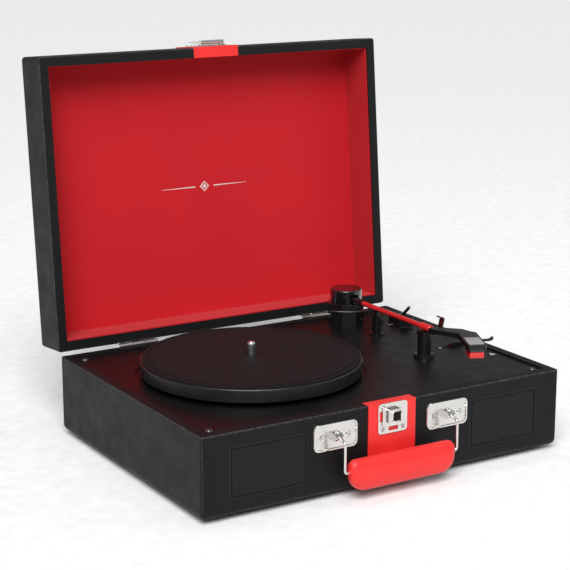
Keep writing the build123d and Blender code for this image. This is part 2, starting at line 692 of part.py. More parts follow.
with BuildPart() as pivot_cap:
    with BuildSketch(PIVOT.offset(CAP_BOTTOM)):
        Circle(CAP_R)
    extrude(amount=CAP_TOP - CAP_BOTTOM)
    fillet(pivot_cap.faces().sort_by(Axis.Z)[-1].edges(), 1.2)
    with BuildSketch(PIVOT.offset(CAP_BOTTOM)):
        Circle(CAP_R - CAP_WALL)
    extrude(amount=CAP_TOP - 2 - CAP_BOTTOM, mode=Mode.SUBTRACT)
    # slot that the arm comes out of
    with BuildSketch(PIVOT.offset(CAP_BOTTOM)):
        with Locations((0, -CAP_R)):
            Rectangle(*ARM_SLOT)
    extrude(amount=ARM_Z + 5 - CAP_BOTTOM, mode=Mode.SUBTRACT)
pivot_cap.part.label = "pivot_cap"
export_step(pivot_cap.part, "parts/pivot_cap.step")


def across_arm(reach):
    """A plane square to the arm, reach in front of its pivot, looking to the front, with Z up."""
    return Plane(origin=(PIVOT_X, PIVOT_Y - reach, ARM_Z), x_dir=(1, 0, 0), z_dir=(0, -1, 0))


SLEEVE_R = 3.3
with BuildPart() as arm_block:
    with BuildSketch(across_arm(-6)):
        RectangleRounded(2 * EAR_X - 0.6, 4.0, 0.8)
    extrude(amount=16)
    with BuildSketch(across_arm(10)):
        Circle(SLEEVE_R)
    extrude(amount=20)
    with BuildSketch(across_arm(12)):
        Circle(ARM_R)
    extrude(amount=20, mode=Mode.SUBTRACT)
    with BuildSketch(side(PIVOT_X - EAR_X)):
        with Locations((PIVOT_Y, ARM_Z)):
            Circle(AXLE_R + RUN)
    extrude(amount=2 * EAR_X, mode=Mode.SUBTRACT)
arm_block.part.label = "arm_block"
export_step(arm_block.part, "parts/arm_block.step")

COLLAR_BACK = 122.0
COLLAR_FRONT = 137.0
with BuildPart() as arm_tube:
    with BuildSketch(across_arm(12)):
        Circle(ARM_R)
        Circle(ARM_R - 0.6, mode=Mode.SUBTRACT)
    extrude(amount=COLLAR_FRONT - 12 - 1)
arm_tube.part.label = "arm_tube"
export_step(arm_tube.part, "parts/arm_tube.step")

with BuildPart() as arm_collar:
    with BuildSketch(across_arm(COLLAR_BACK)):
        Circle(3.2)
    extrude(amount=COLLAR_FRONT - COLLAR_BACK)
    chamfer(arm_collar.edges().filter_by(GeomType.CIRCLE), 0.5)
    with BuildSketch(across_arm(COLLAR_BACK)):
        Circle(ARM_R)
    extrude(amount=COLLAR_FRONT - COLLAR_BACK - 1, mode=Mode.SUBTRACT)
arm_collar.part.label = "arm_collar"
export_step(arm_collar.part, "parts/arm_collar.step")

# The headshell points inwards: HEAD is on the stylus, X across to the right, Y back along the shell
HEAD = Plane(
    origin=(PIVOT_X + 3, PIVOT_Y - ARM_REACH, 0),
    x_dir=(cos(HEAD_ANGLE), -sin(HEAD_ANGLE), 0),
    z_dir=(0, 0, 1),
)
HEAD_W = 17.0
HEAD_FRONT = -9.0
HEAD_BACK = 34.0
HEAD_TOP = ARM_Z + 2.0
SHELL_LOW = ARM_Z - 2.6
ROOF = 1.6
HEAD_MID = (HEAD_FRONT + HEAD_BACK) / 2
elbow = HEAD.from_local_coords((HEAD_W / 2 - 1, HEAD_BACK - 3, 0))
inner = HEAD.from_local_coords((-HEAD_W / 2 + 2, HEAD_BACK - 6, 0))
with BuildPart() as headshell:
    with BuildSketch(HEAD.offset(SHELL_LOW)):
        with Locations((0, HEAD_MID)):
            RectangleRounded(HEAD_W, HEAD_BACK - HEAD_FRONT, 3)
    extrude(amount=HEAD_TOP - SHELL_LOW)
    with BuildSketch(Plane.XY.offset(SHELL_LOW)):
        with BuildLine():
            Polyline(
                (PIVOT_X + 3.2, PIVOT_Y - COLLAR_FRONT),
                (PIVOT_X + 20.5, PIVOT_Y - COLLAR_FRONT - 18.5),
                (elbow.X, elbow.Y),
                (inner.X, inner.Y),
                (PIVOT_X - 3.2, PIVOT_Y - COLLAR_FRONT - 5),
                (PIVOT_X - 3.2, PIVOT_Y - COLLAR_FRONT),
                close=True,
            )
        make_face()
    extrude(amount=HEAD_TOP - SHELL_LOW)
    fillet(headshell.faces().sort_by(Axis.Z)[-1].edges(), 1.0)
    with BuildSketch(HEAD.offset(SHELL_LOW)):
        with Locations((0, HEAD_MID - 1)):
            RectangleRounded(HEAD_W - 3, HEAD_BACK - HEAD_FRONT - 5, 2)
    extrude(amount=HEAD_TOP - ROOF - SHELL_LOW, mode=Mode.SUBTRACT)
headshell.part.label = "headshell"
export_step(headshell.part, "parts/headshell.step")

STYLUS_TOP = ARM_Z - 6.4
CARTRIDGE_W = 12.0
CARTRIDGE_L = 22.0
CARTRIDGE_Y = 4.0
with BuildPart() as cartridge:
    with BuildSketch(HEAD.offset(STYLUS_TOP)):
        with Locations((0, CARTRIDGE_Y)):
            RectangleRounded(CARTRIDGE_W, CARTRIDGE_L, 1)
    extrude(amount=HEAD_TOP - ROOF - STYLUS_TOP)
    # four terminal pins at the back
    with BuildSketch(HEAD.offset(STYLUS_TOP + 2.4)):
        with Locations((0, CARTRIDGE_Y + CARTRIDGE_L / 2 + 2)):
            with GridLocations(2.6, 0, 4, 1):
                Rectangle(0.8, 4.0)
    extrude(amount=0.8)
cartridge.part.label = "cartridge"
export_step(cartridge.part, "parts/cartridge.step")

STYLUS_TIP = MAT_TOP + 0.35
with BuildPart() as stylus:
    with BuildSketch(HEAD.offset(STYLUS_TOP - 3.6)):
        with Locations((0, 0)):
            RectangleRounded(13, 16, 1.5)
    extrude(amount=3.6)
    with BuildSketch(HEAD.offset(STYLUS_TOP)):
        with Locations((0, -7.55)):
            Rectangle(12, 0.9)
    extrude(amount=1.3)
    with BuildSketch(HEAD.offset(STYLUS_TIP)):
        Circle(0.25)
    with BuildSketch(HEAD.offset(STYLUS_TOP - 3.6)):
        Circle(1.0)
    loft()
stylus.part.label = "stylus"
export_step(stylus.part, "parts/stylus.step")

FINGER = Plane(
    origin=HEAD.from_local_coords((HEAD_W / 2, 12, 0)),
    x_dir=HEAD.x_dir,
    z_dir=-HEAD.y_dir,
)
with BuildPart() as finger_lift:
    with BuildSketch(FINGER):
        with BuildLine():
            Polyline(
                (0, ARM_Z + 0.2),
                (5, ARM_Z + 0.2),
                (8, ARM_Z + 0.8),
                (9.4, ARM_Z + 2.4),
                (10.6, ARM_Z + 2.0),
                (9.2, ARM_Z - 0.4),
                (5.6, ARM_Z - 1.2),
                (0, ARM_Z - 1.2),
                close=True,
            )
        make_face()
    extrude(amount=-4)
finger_lift.part.label = "finger_lift"
export_step(finger_lift.part, "parts/finger_lift.step")

# ---------------------------------------------------------------- arm rest with its clip
REST = Plane(origin=(PIVOT_X, PIVOT_Y - REST_REACH, 0))
REST_TOP = ARM_Z - 3.2 - 0.35
CLIP_X = 8.0
CLIP_Z = 95.0
CLIP_PIN_R = 0.8
with BuildPart() as arm_rest:
    with BuildSketch(REST.offset(DECK_TOP)):
        Circle(9.5)
    extrude(amount=3.5, taper=8)
    with BuildSketch(REST.offset(DECK_TOP)):
        Circle(6.2)
    extrude(amount=REST_TOP - 3 - DECK_TOP)
    with BuildSketch(REST.offset(REST_TOP - 3)):
        with Locations((0.25, 0)):
            RectangleRounded(11.5, 12, 2)
    extrude(amount=3)
    # wall on the outer side, and two ears for the clip's pin
    with BuildSketch(REST.offset(REST_TOP - 3)):
        with Locations((5.0, 0)):
            Rectangle(2.0, 12)
    extrude(amount=3 + 6.0)
    with BuildSketch(REST.offset(CLIP_Z - 3)):
        with Locations((CLIP_X - 0.5, 4.7), (CLIP_X - 0.5, -4.7)):
            Rectangle(5.0, 2.6)
    extrude(amount=5)
    with BuildSketch(across_arm(REST_REACH - 5)):
        with Locations((CLIP_X, CLIP_Z - ARM_Z)):
            Circle(CLIP_PIN_R)
    extrude(amount=10)
arm_rest.part.label = "arm_rest"
export_step(arm_rest.part, "parts/arm_rest.step")

# Drawn as it lies when shut over the collar, on a plane that is turned open by CLIP_OPEN
CLIP_OPEN = radians(105.0)
CLIP_HALF = 3.1
clip_plane = Plane(
    origin=(PIVOT_X + CLIP_X, PIVOT_Y - REST_REACH + CLIP_HALF, CLIP_Z),
    x_dir=(cos(CLIP_OPEN), 0, -sin(CLIP_OPEN)),
    z_dir=(0, -1, 0),
)
with BuildPart() as arm_clip:
    with BuildSketch(clip_plane):
        with BuildLine():
            Polyline(
                (-1.2, 0),
                (-1.2, 7.0),
                (-2.2, 8.0),
                (-11.0, 8.0),
                (-12.0, 7.0),
                (-12.0, 4.0),
                (-13.2, 4.0),
                (-13.2, 7.5),
                (-11.5, 9.2),
                (-1.0, 9.2),
                (1.2, 7.4),
                (1.2, 0),
                close=True,
            )
        make_face()
        Circle(1.7)
        Circle(CLIP_PIN_R + RUN, mode=Mode.SUBTRACT)
    extrude(amount=2 * CLIP_HALF)
arm_clip.part.label = "arm_clip"
export_step(arm_clip.part, "parts/arm_clip.step")

# ---------------------------------------------------------------- cueing
LIFTER_TOP = ARM_Z - ARM_R - 0.35
LIFTER_W = 5.0
LIFTER_T = 2.0
GUIDE_TOP = 90.0
STEM = Plane(origin=(LIFTER_STEM[0], LIFTER_STEM[1], 0))
with BuildPart() as lifter_guide:
    with BuildSketch(STEM.offset(DECK_TOP)):
        Circle(7)
    extrude(amount=1.5)
    with BuildSketch(STEM.offset(DECK_UNDER)):
        Circle(2.9)
    extrude(amount=DECK_T)
    with BuildSketch(STEM.offset(DECK_TOP)):
        Circle(4)
    extrude(amount=GUIDE_TOP - DECK_TOP)
    chamfer(lifter_guide.faces().sort_by(Axis.Z)[-1].edges(), 0.8)
    with BuildSketch(STEM.offset(DECK_UNDER)):
        Circle(2.0 + RUN)
    extrude(amount=GUIDE_TOP - DECK_UNDER, mode=Mode.SUBTRACT)
lifter_guide.part.label = "lifter_guide"
export_step(lifter_guide.part, "parts/lifter_guide.step")

with BuildPart() as cue_lifter:
    with BuildLine(PIVOT.offset(LIFTER_TOP - LIFTER_T)) as lifter_arc:
        CenterArc((0, 0), LIFTER_R, 218, 66)
    with BuildSketch(Plane(origin=lifter_arc.line @ 0, z_dir=lifter_arc.line % 0, x_dir=(0, 0, 1))):
        with Locations((LIFTER_T / 2, 0)):
            RectangleRounded(LIFTER_T, LIFTER_W, 0.6)
    sweep(path=lifter_arc.line)
    with BuildSketch(STEM.offset(DECK_UNDER - 8)):
        Circle(2.0)
    extrude(amount=LIFTER_TOP - LIFTER_T / 2 - DECK_UNDER + 8)
cue_lifter.part.label = "cue_lifter"
export_step(cue_lifter.part, "parts/cue_lifter.step")

CUE_X = 152.0
CUE_Y = CASE_Y + 72.0
CUE_Z = DECK_TOP + 6.0
CUE_LEAN = radians(48.0)
CUE_STICK = 19.0
CUE_STICK_R = 1.5
CUE_HUB_R = 3.2
CUE_HUB_T = 4.6
CUE_PIN_R = 1.0
with BuildPart() as cue_block:
    with BuildSketch(Plane.XY.offset(DECK_TOP)):
        with Locations((CUE_X, CUE_Y)):
            RectangleRounded(16, 20, 2)
    extrude(amount=8.5)
    fillet(cue_block.faces().sort_by(Axis.Z)[-1].edges(), 1)
    with BuildSketch(Plane.XY.offset(DECK_TOP + 1.8)):
        with Locations((CUE_X, CUE_Y)):
            Rectangle(5.2, 20)
    extrude(amount=8, mode=Mode.SUBTRACT)
    with BuildSketch(side(CUE_X - 7)):
        with Locations((CUE_Y, CUE_Z)):
            Circle(CUE_PIN_R)
    extrude(amount=14)
cue_block.part.label = "cue_block"
export_step(cue_block.part, "parts/cue_block.step")

CUE_DIR = (0, -sin(CUE_LEAN), cos(CUE_LEAN))
with BuildPart() as cue_lever:
    with BuildSketch(side(CUE_X - CUE_HUB_T / 2)):
        with Locations((CUE_Y, CUE_Z)):
            Circle(CUE_HUB_R)
    extrude(amount=CUE_HUB_T)
    with BuildSketch(Plane(origin=(CUE_X, CUE_Y, CUE_Z), x_dir=(1, 0, 0), z_dir=CUE_DIR)):
        Circle(CUE_STICK_R)
    extrude(amount=CUE_STICK)
    along_stick = Axis((CUE_X, CUE_Y, CUE_Z), CUE_DIR)
    fillet(cue_lever.edges().filter_by(GeomType.CIRCLE).sort_by(along_stick)[-1], CUE_STICK_R * 0.6)
    with BuildSketch(side(CUE_X - CUE_HUB_T / 2)):
        with Locations((CUE_Y, CUE_Z)):
            Circle(CUE_PIN_R + RUN)
    extrude(amount=CUE_HUB_T, mode=Mode.SUBTRACT)
cue_lever.part.label = "cue_lever"
export_step(cue_lever.part, "parts/cue_lever.step")

# ---------------------------------------------------------------- slide switches and volume
SLIDES = [("speed_knob", SPEED_X, SPEED_Y, SPEED_TRAVEL), ("autostop_knob", STOP_X, STOP_Y, STOP_TRAVEL)]
with BuildPart() as slide_switches:
    for label, x, y, travel in SLIDES:
        with BuildSketch(Plane.XY.offset(DECK_UNDER)):
            with Locations((x + travel / 2, y)):
                Rectangle(travel + 13, 9)
        extrude(amount=-7)
        # solder tags
        with BuildSketch(Plane.XY.offset(DECK_UNDER - 7)):
            with Locations((x + travel / 2, y)):
                with GridLocations(5, 0, 3, 1):
                    Rectangle(1.8, 0.6)
        extrude(amount=-3.5)
slide_switches.part.label = "slide_switches"
export_step(slide_switches.part, "parts/slide_switches.step")

for label, x, y, travel in SLIDES:
    with BuildPart() as slide_knob:
        with BuildSketch(Plane.XY.offset(DECK_UNDER + 0.3)):
            with Locations((x, y)):
                Rectangle(2.0, 2.2)
        extrude(amount=DECK_T + 0.5)
        with BuildSketch(Plane.XY.offset(DECK_TOP + 0.3)):
            with Locations((x, y)):
                RectangleRounded(6.0, 4.4, 0.8)
        extrude(amount=3.4)
        with BuildSketch(Plane.XY.offset(DECK_TOP + 2.9)):
            with Locations((x, y)):
                with GridLocations(1.6, 0, 3, 1):
                    Rectangle(0.7, 4.4)
        extrude(amount=0.8, mode=Mode.SUBTRACT)
    slide_knob.part.label = label
    export_step(slide_knob.part, f"parts/{label}.step")

WHEEL = Plane(origin=(VOLUME_X, VOLUME_Y - VOLUME_T / 2, VOLUME_Z), x_dir=(1, 0, 0), z_dir=(0, 1, 0))
POT_GAP = 1.0
POT_L = 9.0
with BuildPart() as volume_wheel:
    with BuildSketch(WHEEL):
        Circle(VOLUME_R)
        with PolarLocations(VOLUME_R, 36):
            Circle(0.4, mode=Mode.SUBTRACT)
    extrude(amount=VOLUME_T)
    with BuildSketch(WHEEL.offset(VOLUME_T)):
        Circle(2.5)
    extrude(amount=POT_GAP + POT_L - 1)
volume_wheel.part.label = "volume_wheel"
export_step(volume_wheel.part, "parts/volume_wheel.step")

with BuildPart() as volume_pot:
    with BuildSketch(Plane.XY.offset(DECK_UNDER)):
        with Locations((VOLUME_X, VOLUME_Y + VOLUME_T / 2 + POT_GAP + POT_L / 2)):
            Rectangle(18, POT_L)
    extrude(amount=-16)
    with BuildSketch(WHEEL.offset(VOLUME_T + POT_GAP)):
        Circle(2.5 + RUN)
    extrude(amount=POT_L - 0.8, mode=Mode.SUBTRACT)
volume_pot.part.label = "volume_pot"
export_step(volume_pot.part, "parts/volume_pot.step")

# ---------------------------------------------------------------- back panel and electronics
PANEL_W = 96.0
PANEL_H = 38.0
PANEL_T = 1.6
PANEL_SCREWS = [(PANEL_X + dx, PANEL_Z + dz) for dx in (-45, 45) for dz in (-15, 15)]
INLET_X = -88.0
INLET_Z = 30.0
INLET_R = 4.0
SOCKETS = [(-30, 32), (-46, 32)]
SOCKET_R = 4.6
with BuildPart() as rear_panel:
    with BuildSketch(REAR):
        with Locations((PANEL_X, PANEL_Z)):
            RectangleRounded(PANEL_W, PANEL_H, 3)
        with Locations((INLET_X, INLET_Z)):
            Circle(INLET_R, mode=Mode.SUBTRACT)
        with Locations(*SOCKETS):
            Circle(SOCKET_R, mode=Mode.SUBTRACT)
        with Locations(*PANEL_SCREWS):
            Circle(1.5, mode=Mode.SUBTRACT)
    extrude(amount=PANEL_T)
rear_panel.part.label = "rear_panel"
export_step(rear_panel.part, "parts/rear_panel.step")

BOARD_TOP = FOOT_H + PANEL + 9.6
SOCKET_LOW = PANEL_Z - 12.5
SOCKET_DEPTH = WALL + 5.0
SOCKET_FOOT = 4.5
with BuildPart() as dc_inlet:
    with BuildSketch(REAR.offset(-SOCKET_DEPTH)):
        with Locations((INLET_X, INLET_Z)):
            Rectangle(9, 2 * (INLET_Z - SOCKET_LOW))
    extrude(amount=SOCKET_DEPTH)
    with BuildSketch(REAR.offset(-SOCKET_DEPTH)):
        with Locations((INLET_X, (SOCKET_LOW + BOARD_TOP) / 2)):
            Rectangle(9, SOCKET_LOW - BOARD_TOP)
    extrude(amount=SOCKET_FOOT)
    with BuildSketch(REAR):
        with Locations((INLET_X, INLET_Z)):
            Circle(INLET_R)
    extrude(amount=PANEL_T + 0.5)
    with BuildSketch(REAR.offset(-8)):
        with Locations((INLET_X, INLET_Z)):
            Circle(2.8)
            Circle(0.95, mode=Mode.SUBTRACT)
    extrude(amount=PANEL_T + 9, mode=Mode.SUBTRACT)
dc_inlet.part.label = "dc_inlet"
export_step(dc_inlet.part, "parts/dc_inlet.step")

with BuildPart() as line_out_sockets:
    with BuildSketch(REAR):
        with Locations(*SOCKETS):
            Circle(SOCKET_R)
    extrude(amount=PANEL_T)
    with BuildSketch(REAR.offset(PANEL_T)):
        with Locations(*SOCKETS):
            Circle(5.6)
    extrude(amount=1.0)
    with BuildSketch(REAR.offset(PANEL_T)):
        with Locations(*SOCKETS):
            Circle(4.15)
    extrude(amount=8.5)
    with BuildSketch(REAR.offset(-SOCKET_DEPTH)):
        with Locations((-38, SOCKET_LOW + 9)):
            Rectangle(27, 18)
    extrude(amount=SOCKET_DEPTH)
    with BuildSketch(REAR.offset(-SOCKET_DEPTH)):
        with Locations((-38, (SOCKET_LOW + BOARD_TOP) / 2)):
            Rectangle(27, SOCKET_LOW - BOARD_TOP)
    extrude(amount=SOCKET_FOOT)
    with BuildSketch(REAR.offset(1)):
        with Locations(*SOCKETS):
            Circle(1.6)
    extrude(amount=PANEL_T + 8, mode=Mode.SUBTRACT)
line_out_sockets.part.label = "line_out_sockets"
export_step(line_out_sockets.part, "parts/line_out_sockets.step")

BOARD_X = 60.0
BOARD_Y = BACK - WALL - 31.0
BOARD_T = 1.6
POST_GRID = (80.0, 50.0)
with BuildPart() as circuit_board:
    with BuildSketch(Plane.XY.offset(BOARD_TOP - BOARD_T)):
        with Locations((BOARD_X, BOARD_Y)):
            Rectangle(88, 58)
            with GridLocations(*POST_GRID, 2, 2):
                Circle(1.5, mode=Mode.SUBTRACT)
    extrude(amount=BOARD_T)
    with BuildSketch(Plane.XY.offset(BOARD_TOP)):
        with Locations((BOARD_X - 6, BOARD_Y - 2)):
            Rectangle(18, 8)
        with Locations((BOARD_X + 20, BOARD_Y - 12)):
            Rectangle(12, 12)
        with Locations((BOARD_X - 30, BOARD_Y - 10)):
            Rectangle(7, 16)
    extrude(amount=4)
    with BuildSketch(Plane.XY.offset(BOARD_TOP)):
        with Locations((BOARD_X + 4, BOARD_Y - 18), (BOARD_X - 12, BOARD_Y - 20)):
            Circle(5)
        with Locations((BOARD_X + 34, BOARD_Y + 2), (BOARD_X + 24, BOARD_Y + 6)):
            Circle(3.2)
    extrude(amount=12)
circuit_board.part.label = "circuit_board"
export_step(circuit_board.part, "parts/circuit_board.step")

# nylon posts that snap through the board's corners
with BuildPart() as board_posts:
    with BuildSketch(Plane.XY.offset(FOOT_H + PANEL)):
        with Locations((BOARD_X, BOARD_Y)):
            with GridLocations(*POST_GRID, 2, 2):
                Circle(3)
    extrude(amount=BOARD_TOP - BOARD_T - FOOT_H - PANEL)
    with BuildSketch(Plane.XY.offset(BOARD_TOP - BOARD_T)):
        with Locations((BOARD_X, BOARD_Y)):
            with GridLocations(*POST_GRID, 2, 2):
                Circle(1.4)
    extrude(amount=BOARD_T)
    with BuildSketch(Plane.XY.offset(BOARD_TOP)):
        with Locations((BOARD_X, BOARD_Y)):
            with GridLocations(*POST_GRID, 2, 2):
                Circle(2.1)
    extrude(amount=1.8, taper=30)
board_posts.part.label = "board_posts"
export_step(board_posts.part, "parts/board_posts.step")

# ---------------------------------------------------------------- hinges
KNUCKLE = 13.0
KNUCKLE_GAP = 0.3
HINGE_CLEAR = BARREL_R + 0.3
HINGE_SPOTS = [-HINGE_X, HINGE_X]
KNUCKLE_DX = [-(HINGE_W - KNUCKLE) / 2, (HINGE_W - KNUCKLE) / 2]
LEAF_SCREW_DX = [-12.0, 12.0]
LEAF_HOLE_R = 1.5
LEAF_TOP = HINGE_Z - HINGE_CLEAR
BASE_LEAF_MID = LEAF_TOP - LEAF_H / 2
BASE_LEAF_SCREWS = [(x + dx, BASE_LEAF_MID) for x in HINGE_SPOTS for dx in LEAF_SCREW_DX]
with BuildPart() as base_hinge_leaves:
    with BuildSketch(REAR):
        with Locations(*[(x, BASE_LEAF_MID) for x in HINGE_SPOTS]):
            RectangleRounded(HINGE_W, LEAF_H, 2)
        with Locations(*[(x + dx, LEAF_TOP) for x in HINGE_SPOTS for dx in KNUCKLE_DX]):
            Rectangle(KNUCKLE, 2 * HINGE_CLEAR)
        with Locations(*BASE_LEAF_SCREWS):
            Circle(LEAF_HOLE_R, mode=Mode.SUBTRACT)
    extrude(amount=LEAF_T)
    for x in HINGE_SPOTS:
        for start in (x - HINGE_W / 2, x + HINGE_W / 2 - KNUCKLE):
            with BuildSketch(side(start)):
                with Locations((HINGE_Y, HINGE_Z)):
                    Circle(BARREL_R)
            extrude(amount=KNUCKLE)
            with BuildSketch(side(start)):
                with Locations((HINGE_Y, HINGE_Z)):
                    Circle(HINGE_PIN_R)
            extrude(amount=KNUCKLE, mode=Mode.SUBTRACT)
base_hinge_leaves.part.label = "base_hinge_leaves"
export_step(base_hinge_leaves.part, "parts/base_hinge_leaves.step")

# One kind of wood screw holds the handle brackets, the socket panel and the base's hinge leaves
with BuildPart() as wood_screws:
    add(board_screws(FACE.offset(BRACKET_T), BRACKET_SCREWS, *WOOD_SCREW))
    add(board_screws(REAR.offset(PANEL_T), PANEL_SCREWS, *WOOD_SCREW))
    add(board_screws(REAR.offset(LEAF_T), BASE_LEAF_SCREWS, *WOOD_SCREW))
wood_screws.part.label = "wood_screws"
export_step(wood_screws.part, "parts/wood_screws.step")

with BuildPart() as hinge_pins:
    for x in HINGE_SPOTS:
        with BuildSketch(side(x - HINGE_W / 2)):
            with Locations((HINGE_Y, HINGE_Z)):
                Circle(HINGE_PIN_R)
        extrude(amount=HINGE_W)
hinge_pins.part.label = "hinge_pins"
export_step(hinge_pins.part, "parts/hinge_pins.step")

# The lid's hinged wall, seen from outside: X to the right, Y from the rim to the top panel
LID_REAR = Plane(origin=RIM.origin, x_dir=(1, 0, 0), z_dir=-RIM.y_dir)
AXIS_IN_LID = -(HINGE_DROP + SEAM)
LID_LEAF_LOW = AXIS_IN_LID + HINGE_CLEAR
CENTRE_W = HINGE_W - 2 * KNUCKLE - 2 * KNUCKLE_GAP
LEAF_SIDE = -1 if LID_REAR.y_dir.dot(RIM.z_dir) < 0 else 1
LID_LEAF_MID = LEAF_SIDE * (LID_LEAF_LOW + LEAF_H / 2)
LID_LEAF_SCREWS = [(x + dx, LID_LEAF_MID) for x in HINGE_SPOTS for dx in LEAF_SCREW_DX]
with BuildPart() as lid_hinge_leaves:
    with BuildSketch(LID_REAR):
        with Locations(*[(x, LID_LEAF_MID) for x in HINGE_SPOTS]):
            RectangleRounded(HINGE_W, LEAF_H, 2)
        with Locations(*[(x, LEAF_SIDE * LID_LEAF_LOW) for x in HINGE_SPOTS]):
            Rectangle(CENTRE_W, 2 * HINGE_CLEAR)
        with Locations(*LID_LEAF_SCREWS):
            Circle(LEAF_HOLE_R, mode=Mode.SUBTRACT)
    extrude(amount=LEAF_T)
    for x in HINGE_SPOTS:
        with BuildSketch(side(x - CENTRE_W / 2)):
            with Locations((HINGE_Y, HINGE_Z)):
                Circle(BARREL_R)
        extrude(amount=CENTRE_W)
        with BuildSketch(side(x - CENTRE_W / 2)):
            with Locations((HINGE_Y, HINGE_Z)):
                Circle(HINGE_PIN_R + RUN)
        extrude(amount=CENTRE_W, mode=Mode.SUBTRACT)
lid_hinge_leaves.part.label = "lid_hinge_leaves"
export_step(lid_hinge_leaves.part, "parts/lid_hinge_leaves.step")

lid_hinge_screws = board_screws(LID_REAR.offset(LEAF_T), LID_LEAF_SCREWS, *WOOD_SCREW)
lid_hinge_screws.label = "lid_hinge_screws"
export_step(lid_hinge_screws, "parts/lid_hinge_screws.step")

# ---------------------------------------------------------------- lid
LID_DEPTH = Axis(RIM.origin, RIM.z_dir)
with BuildPart() as lid_shell:
    with BuildSketch(RIM):
        with Locations((0, CASE_D / 2)):
            Rectangle(CASE_W, CASE_D)
    extrude(amount=LID_H)
    fillet(lid_shell.faces().sort_by(LID_DEPTH)[-1].edges(), BOTTOM_R)
    fillet(lid_shell.edges().filter_by(LID_DEPTH), CORNER_R)
    fillet(lid_shell.faces().sort_by(LID_DEPTH)[0].edges(), RIM_R)
    with BuildSketch(RIM):
        with Locations((0, CASE_D / 2)):
            Rectangle(CASE_W - 2 * WALL, CASE_D - 2 * WALL)
    extrude(amount=LID_H - PANEL, mode=Mode.SUBTRACT)
    with BuildSketch(RIM):
        with Locations((0, CASE_D)):
            Rectangle(STRAP_W, 2 * WALL)
    extrude(amount=STRAP_T, mode=Mode.SUBTRACT)
lid_shell.part.label = "lid_shell"
export_step(lid_shell.part, "parts/lid_shell.step")

LINING_RIM = 1.6
with BuildPart() as lid_lining:
    with BuildSketch(RIM.offset(LINING_RIM)):
        with Locations((0, CASE_D / 2)):
            Rectangle(CASE_W - 2 * WALL, CASE_D - 2 * WALL)
    extrude(amount=LID_H - PANEL - LINING_RIM)
    with BuildSketch(RIM.offset(LINING_RIM)):
        with Locations((0, CASE_D / 2)):
            Rectangle(CASE_W - 2 * WALL - 2 * LINING, CASE_D - 2 * WALL - 2 * LINING)
    extrude(amount=LID_H - PANEL - LINING_RIM - LINING, mode=Mode.SUBTRACT)
lid_lining.part.label = "lid_lining"
export_step(lid_lining.part, "parts/lid_lining.step")

# The lid's front wall when shut: X to the right, Y from the rim to the top panel, Z out of the wall
TOPWALL = Plane(origin=RIM.from_local_coords((0, CASE_D, 0)), x_dir=(1, 0, 0), z_dir=RIM.y_dir)
with BuildPart() as lid_strap:
    with BuildSketch(TOPWALL):
        with Locations((0, (LID_H - BOTTOM_R) / 2)):
            Rectangle(STRAP_W, LID_H - BOTTOM_R)
    extrude(amount=STRAP_T)
    with BuildSketch(TOPWALL):
        with Locations((0, STRAP_T / 2)):
            Rectangle(STRAP_W, STRAP_T)
    extrude(amount=-WALL)
lid_strap.part.label = "lid_strap"
export_step(lid_strap.part, "parts/lid_strap.step")

# ---------------------------------------------------------------- latch on the lid
LATCH_W = 30.0
LATCH_H = 30.0
LATCH_MID = 20.0
LATCH_T = 1.0
HASP_Y = 8.0
HASP_OUT = 4.5
HASP_W = 19.6
HASP_T = 1.4
HASP_L = 30.0
HASP_BARREL = 1.9
HASP_PIN_R = 1.0
HASP_EAR = 1.5
LATCH_SCREWS = [(x, y) for x in (-12, 12) for y in (14.0, 31.0)]
LATCH_FACE = TOPWALL.offset(STRAP_T)


def along_latch(x):
    """A plane square to the latch's pin at x: X is the depth from the rim, Y is out of the wall."""
    return Plane(origin=TOPWALL.from_local_coords((x, 0, 0)), x_dir=RIM.z_dir, z_dir=(-1, 0, 0))


LATCH_SIGN = 1 if along_latch(0).y_dir.dot(TOPWALL.z_dir) > 0 else -1
with BuildPart() as latch_plate:
    with BuildSketch(LATCH_FACE):
        with Locations((0, LATCH_MID)):
            RectangleRounded(LATCH_W, LATCH_H, 3)
        with Locations(*LATCH_SCREWS):
            Circle(1.1, mode=Mode.SUBTRACT)
    extrude(amount=LATCH_T)
    for x in (-HASP_W / 2 - 0.4 - HASP_EAR, HASP_W / 2 + 0.4):
        with BuildSketch(LATCH_FACE):
            with Locations((x + HASP_EAR / 2, HASP_Y)):
                Rectangle(HASP_EAR, 2 * HASP_BARREL + 0.4)
        extrude(amount=HASP_OUT - STRAP_T + HASP_BARREL)
    with BuildSketch(along_latch(HASP_W / 2 + 1)):
        with Locations((HASP_Y, LATCH_SIGN * HASP_OUT)):
            Circle(HASP_PIN_R)
    extrude(amount=HASP_W + 2)
latch_plate.part.label = "latch_plate"
export_step(latch_plate.part, "parts/latch_plate.step")

latch_screws = board_screws(LATCH_FACE.offset(LATCH_T), LATCH_SCREWS, *SMALL_SCREW)
latch_screws.label = "latch_screws"
export_step(latch_screws, "parts/latch_screws.step")

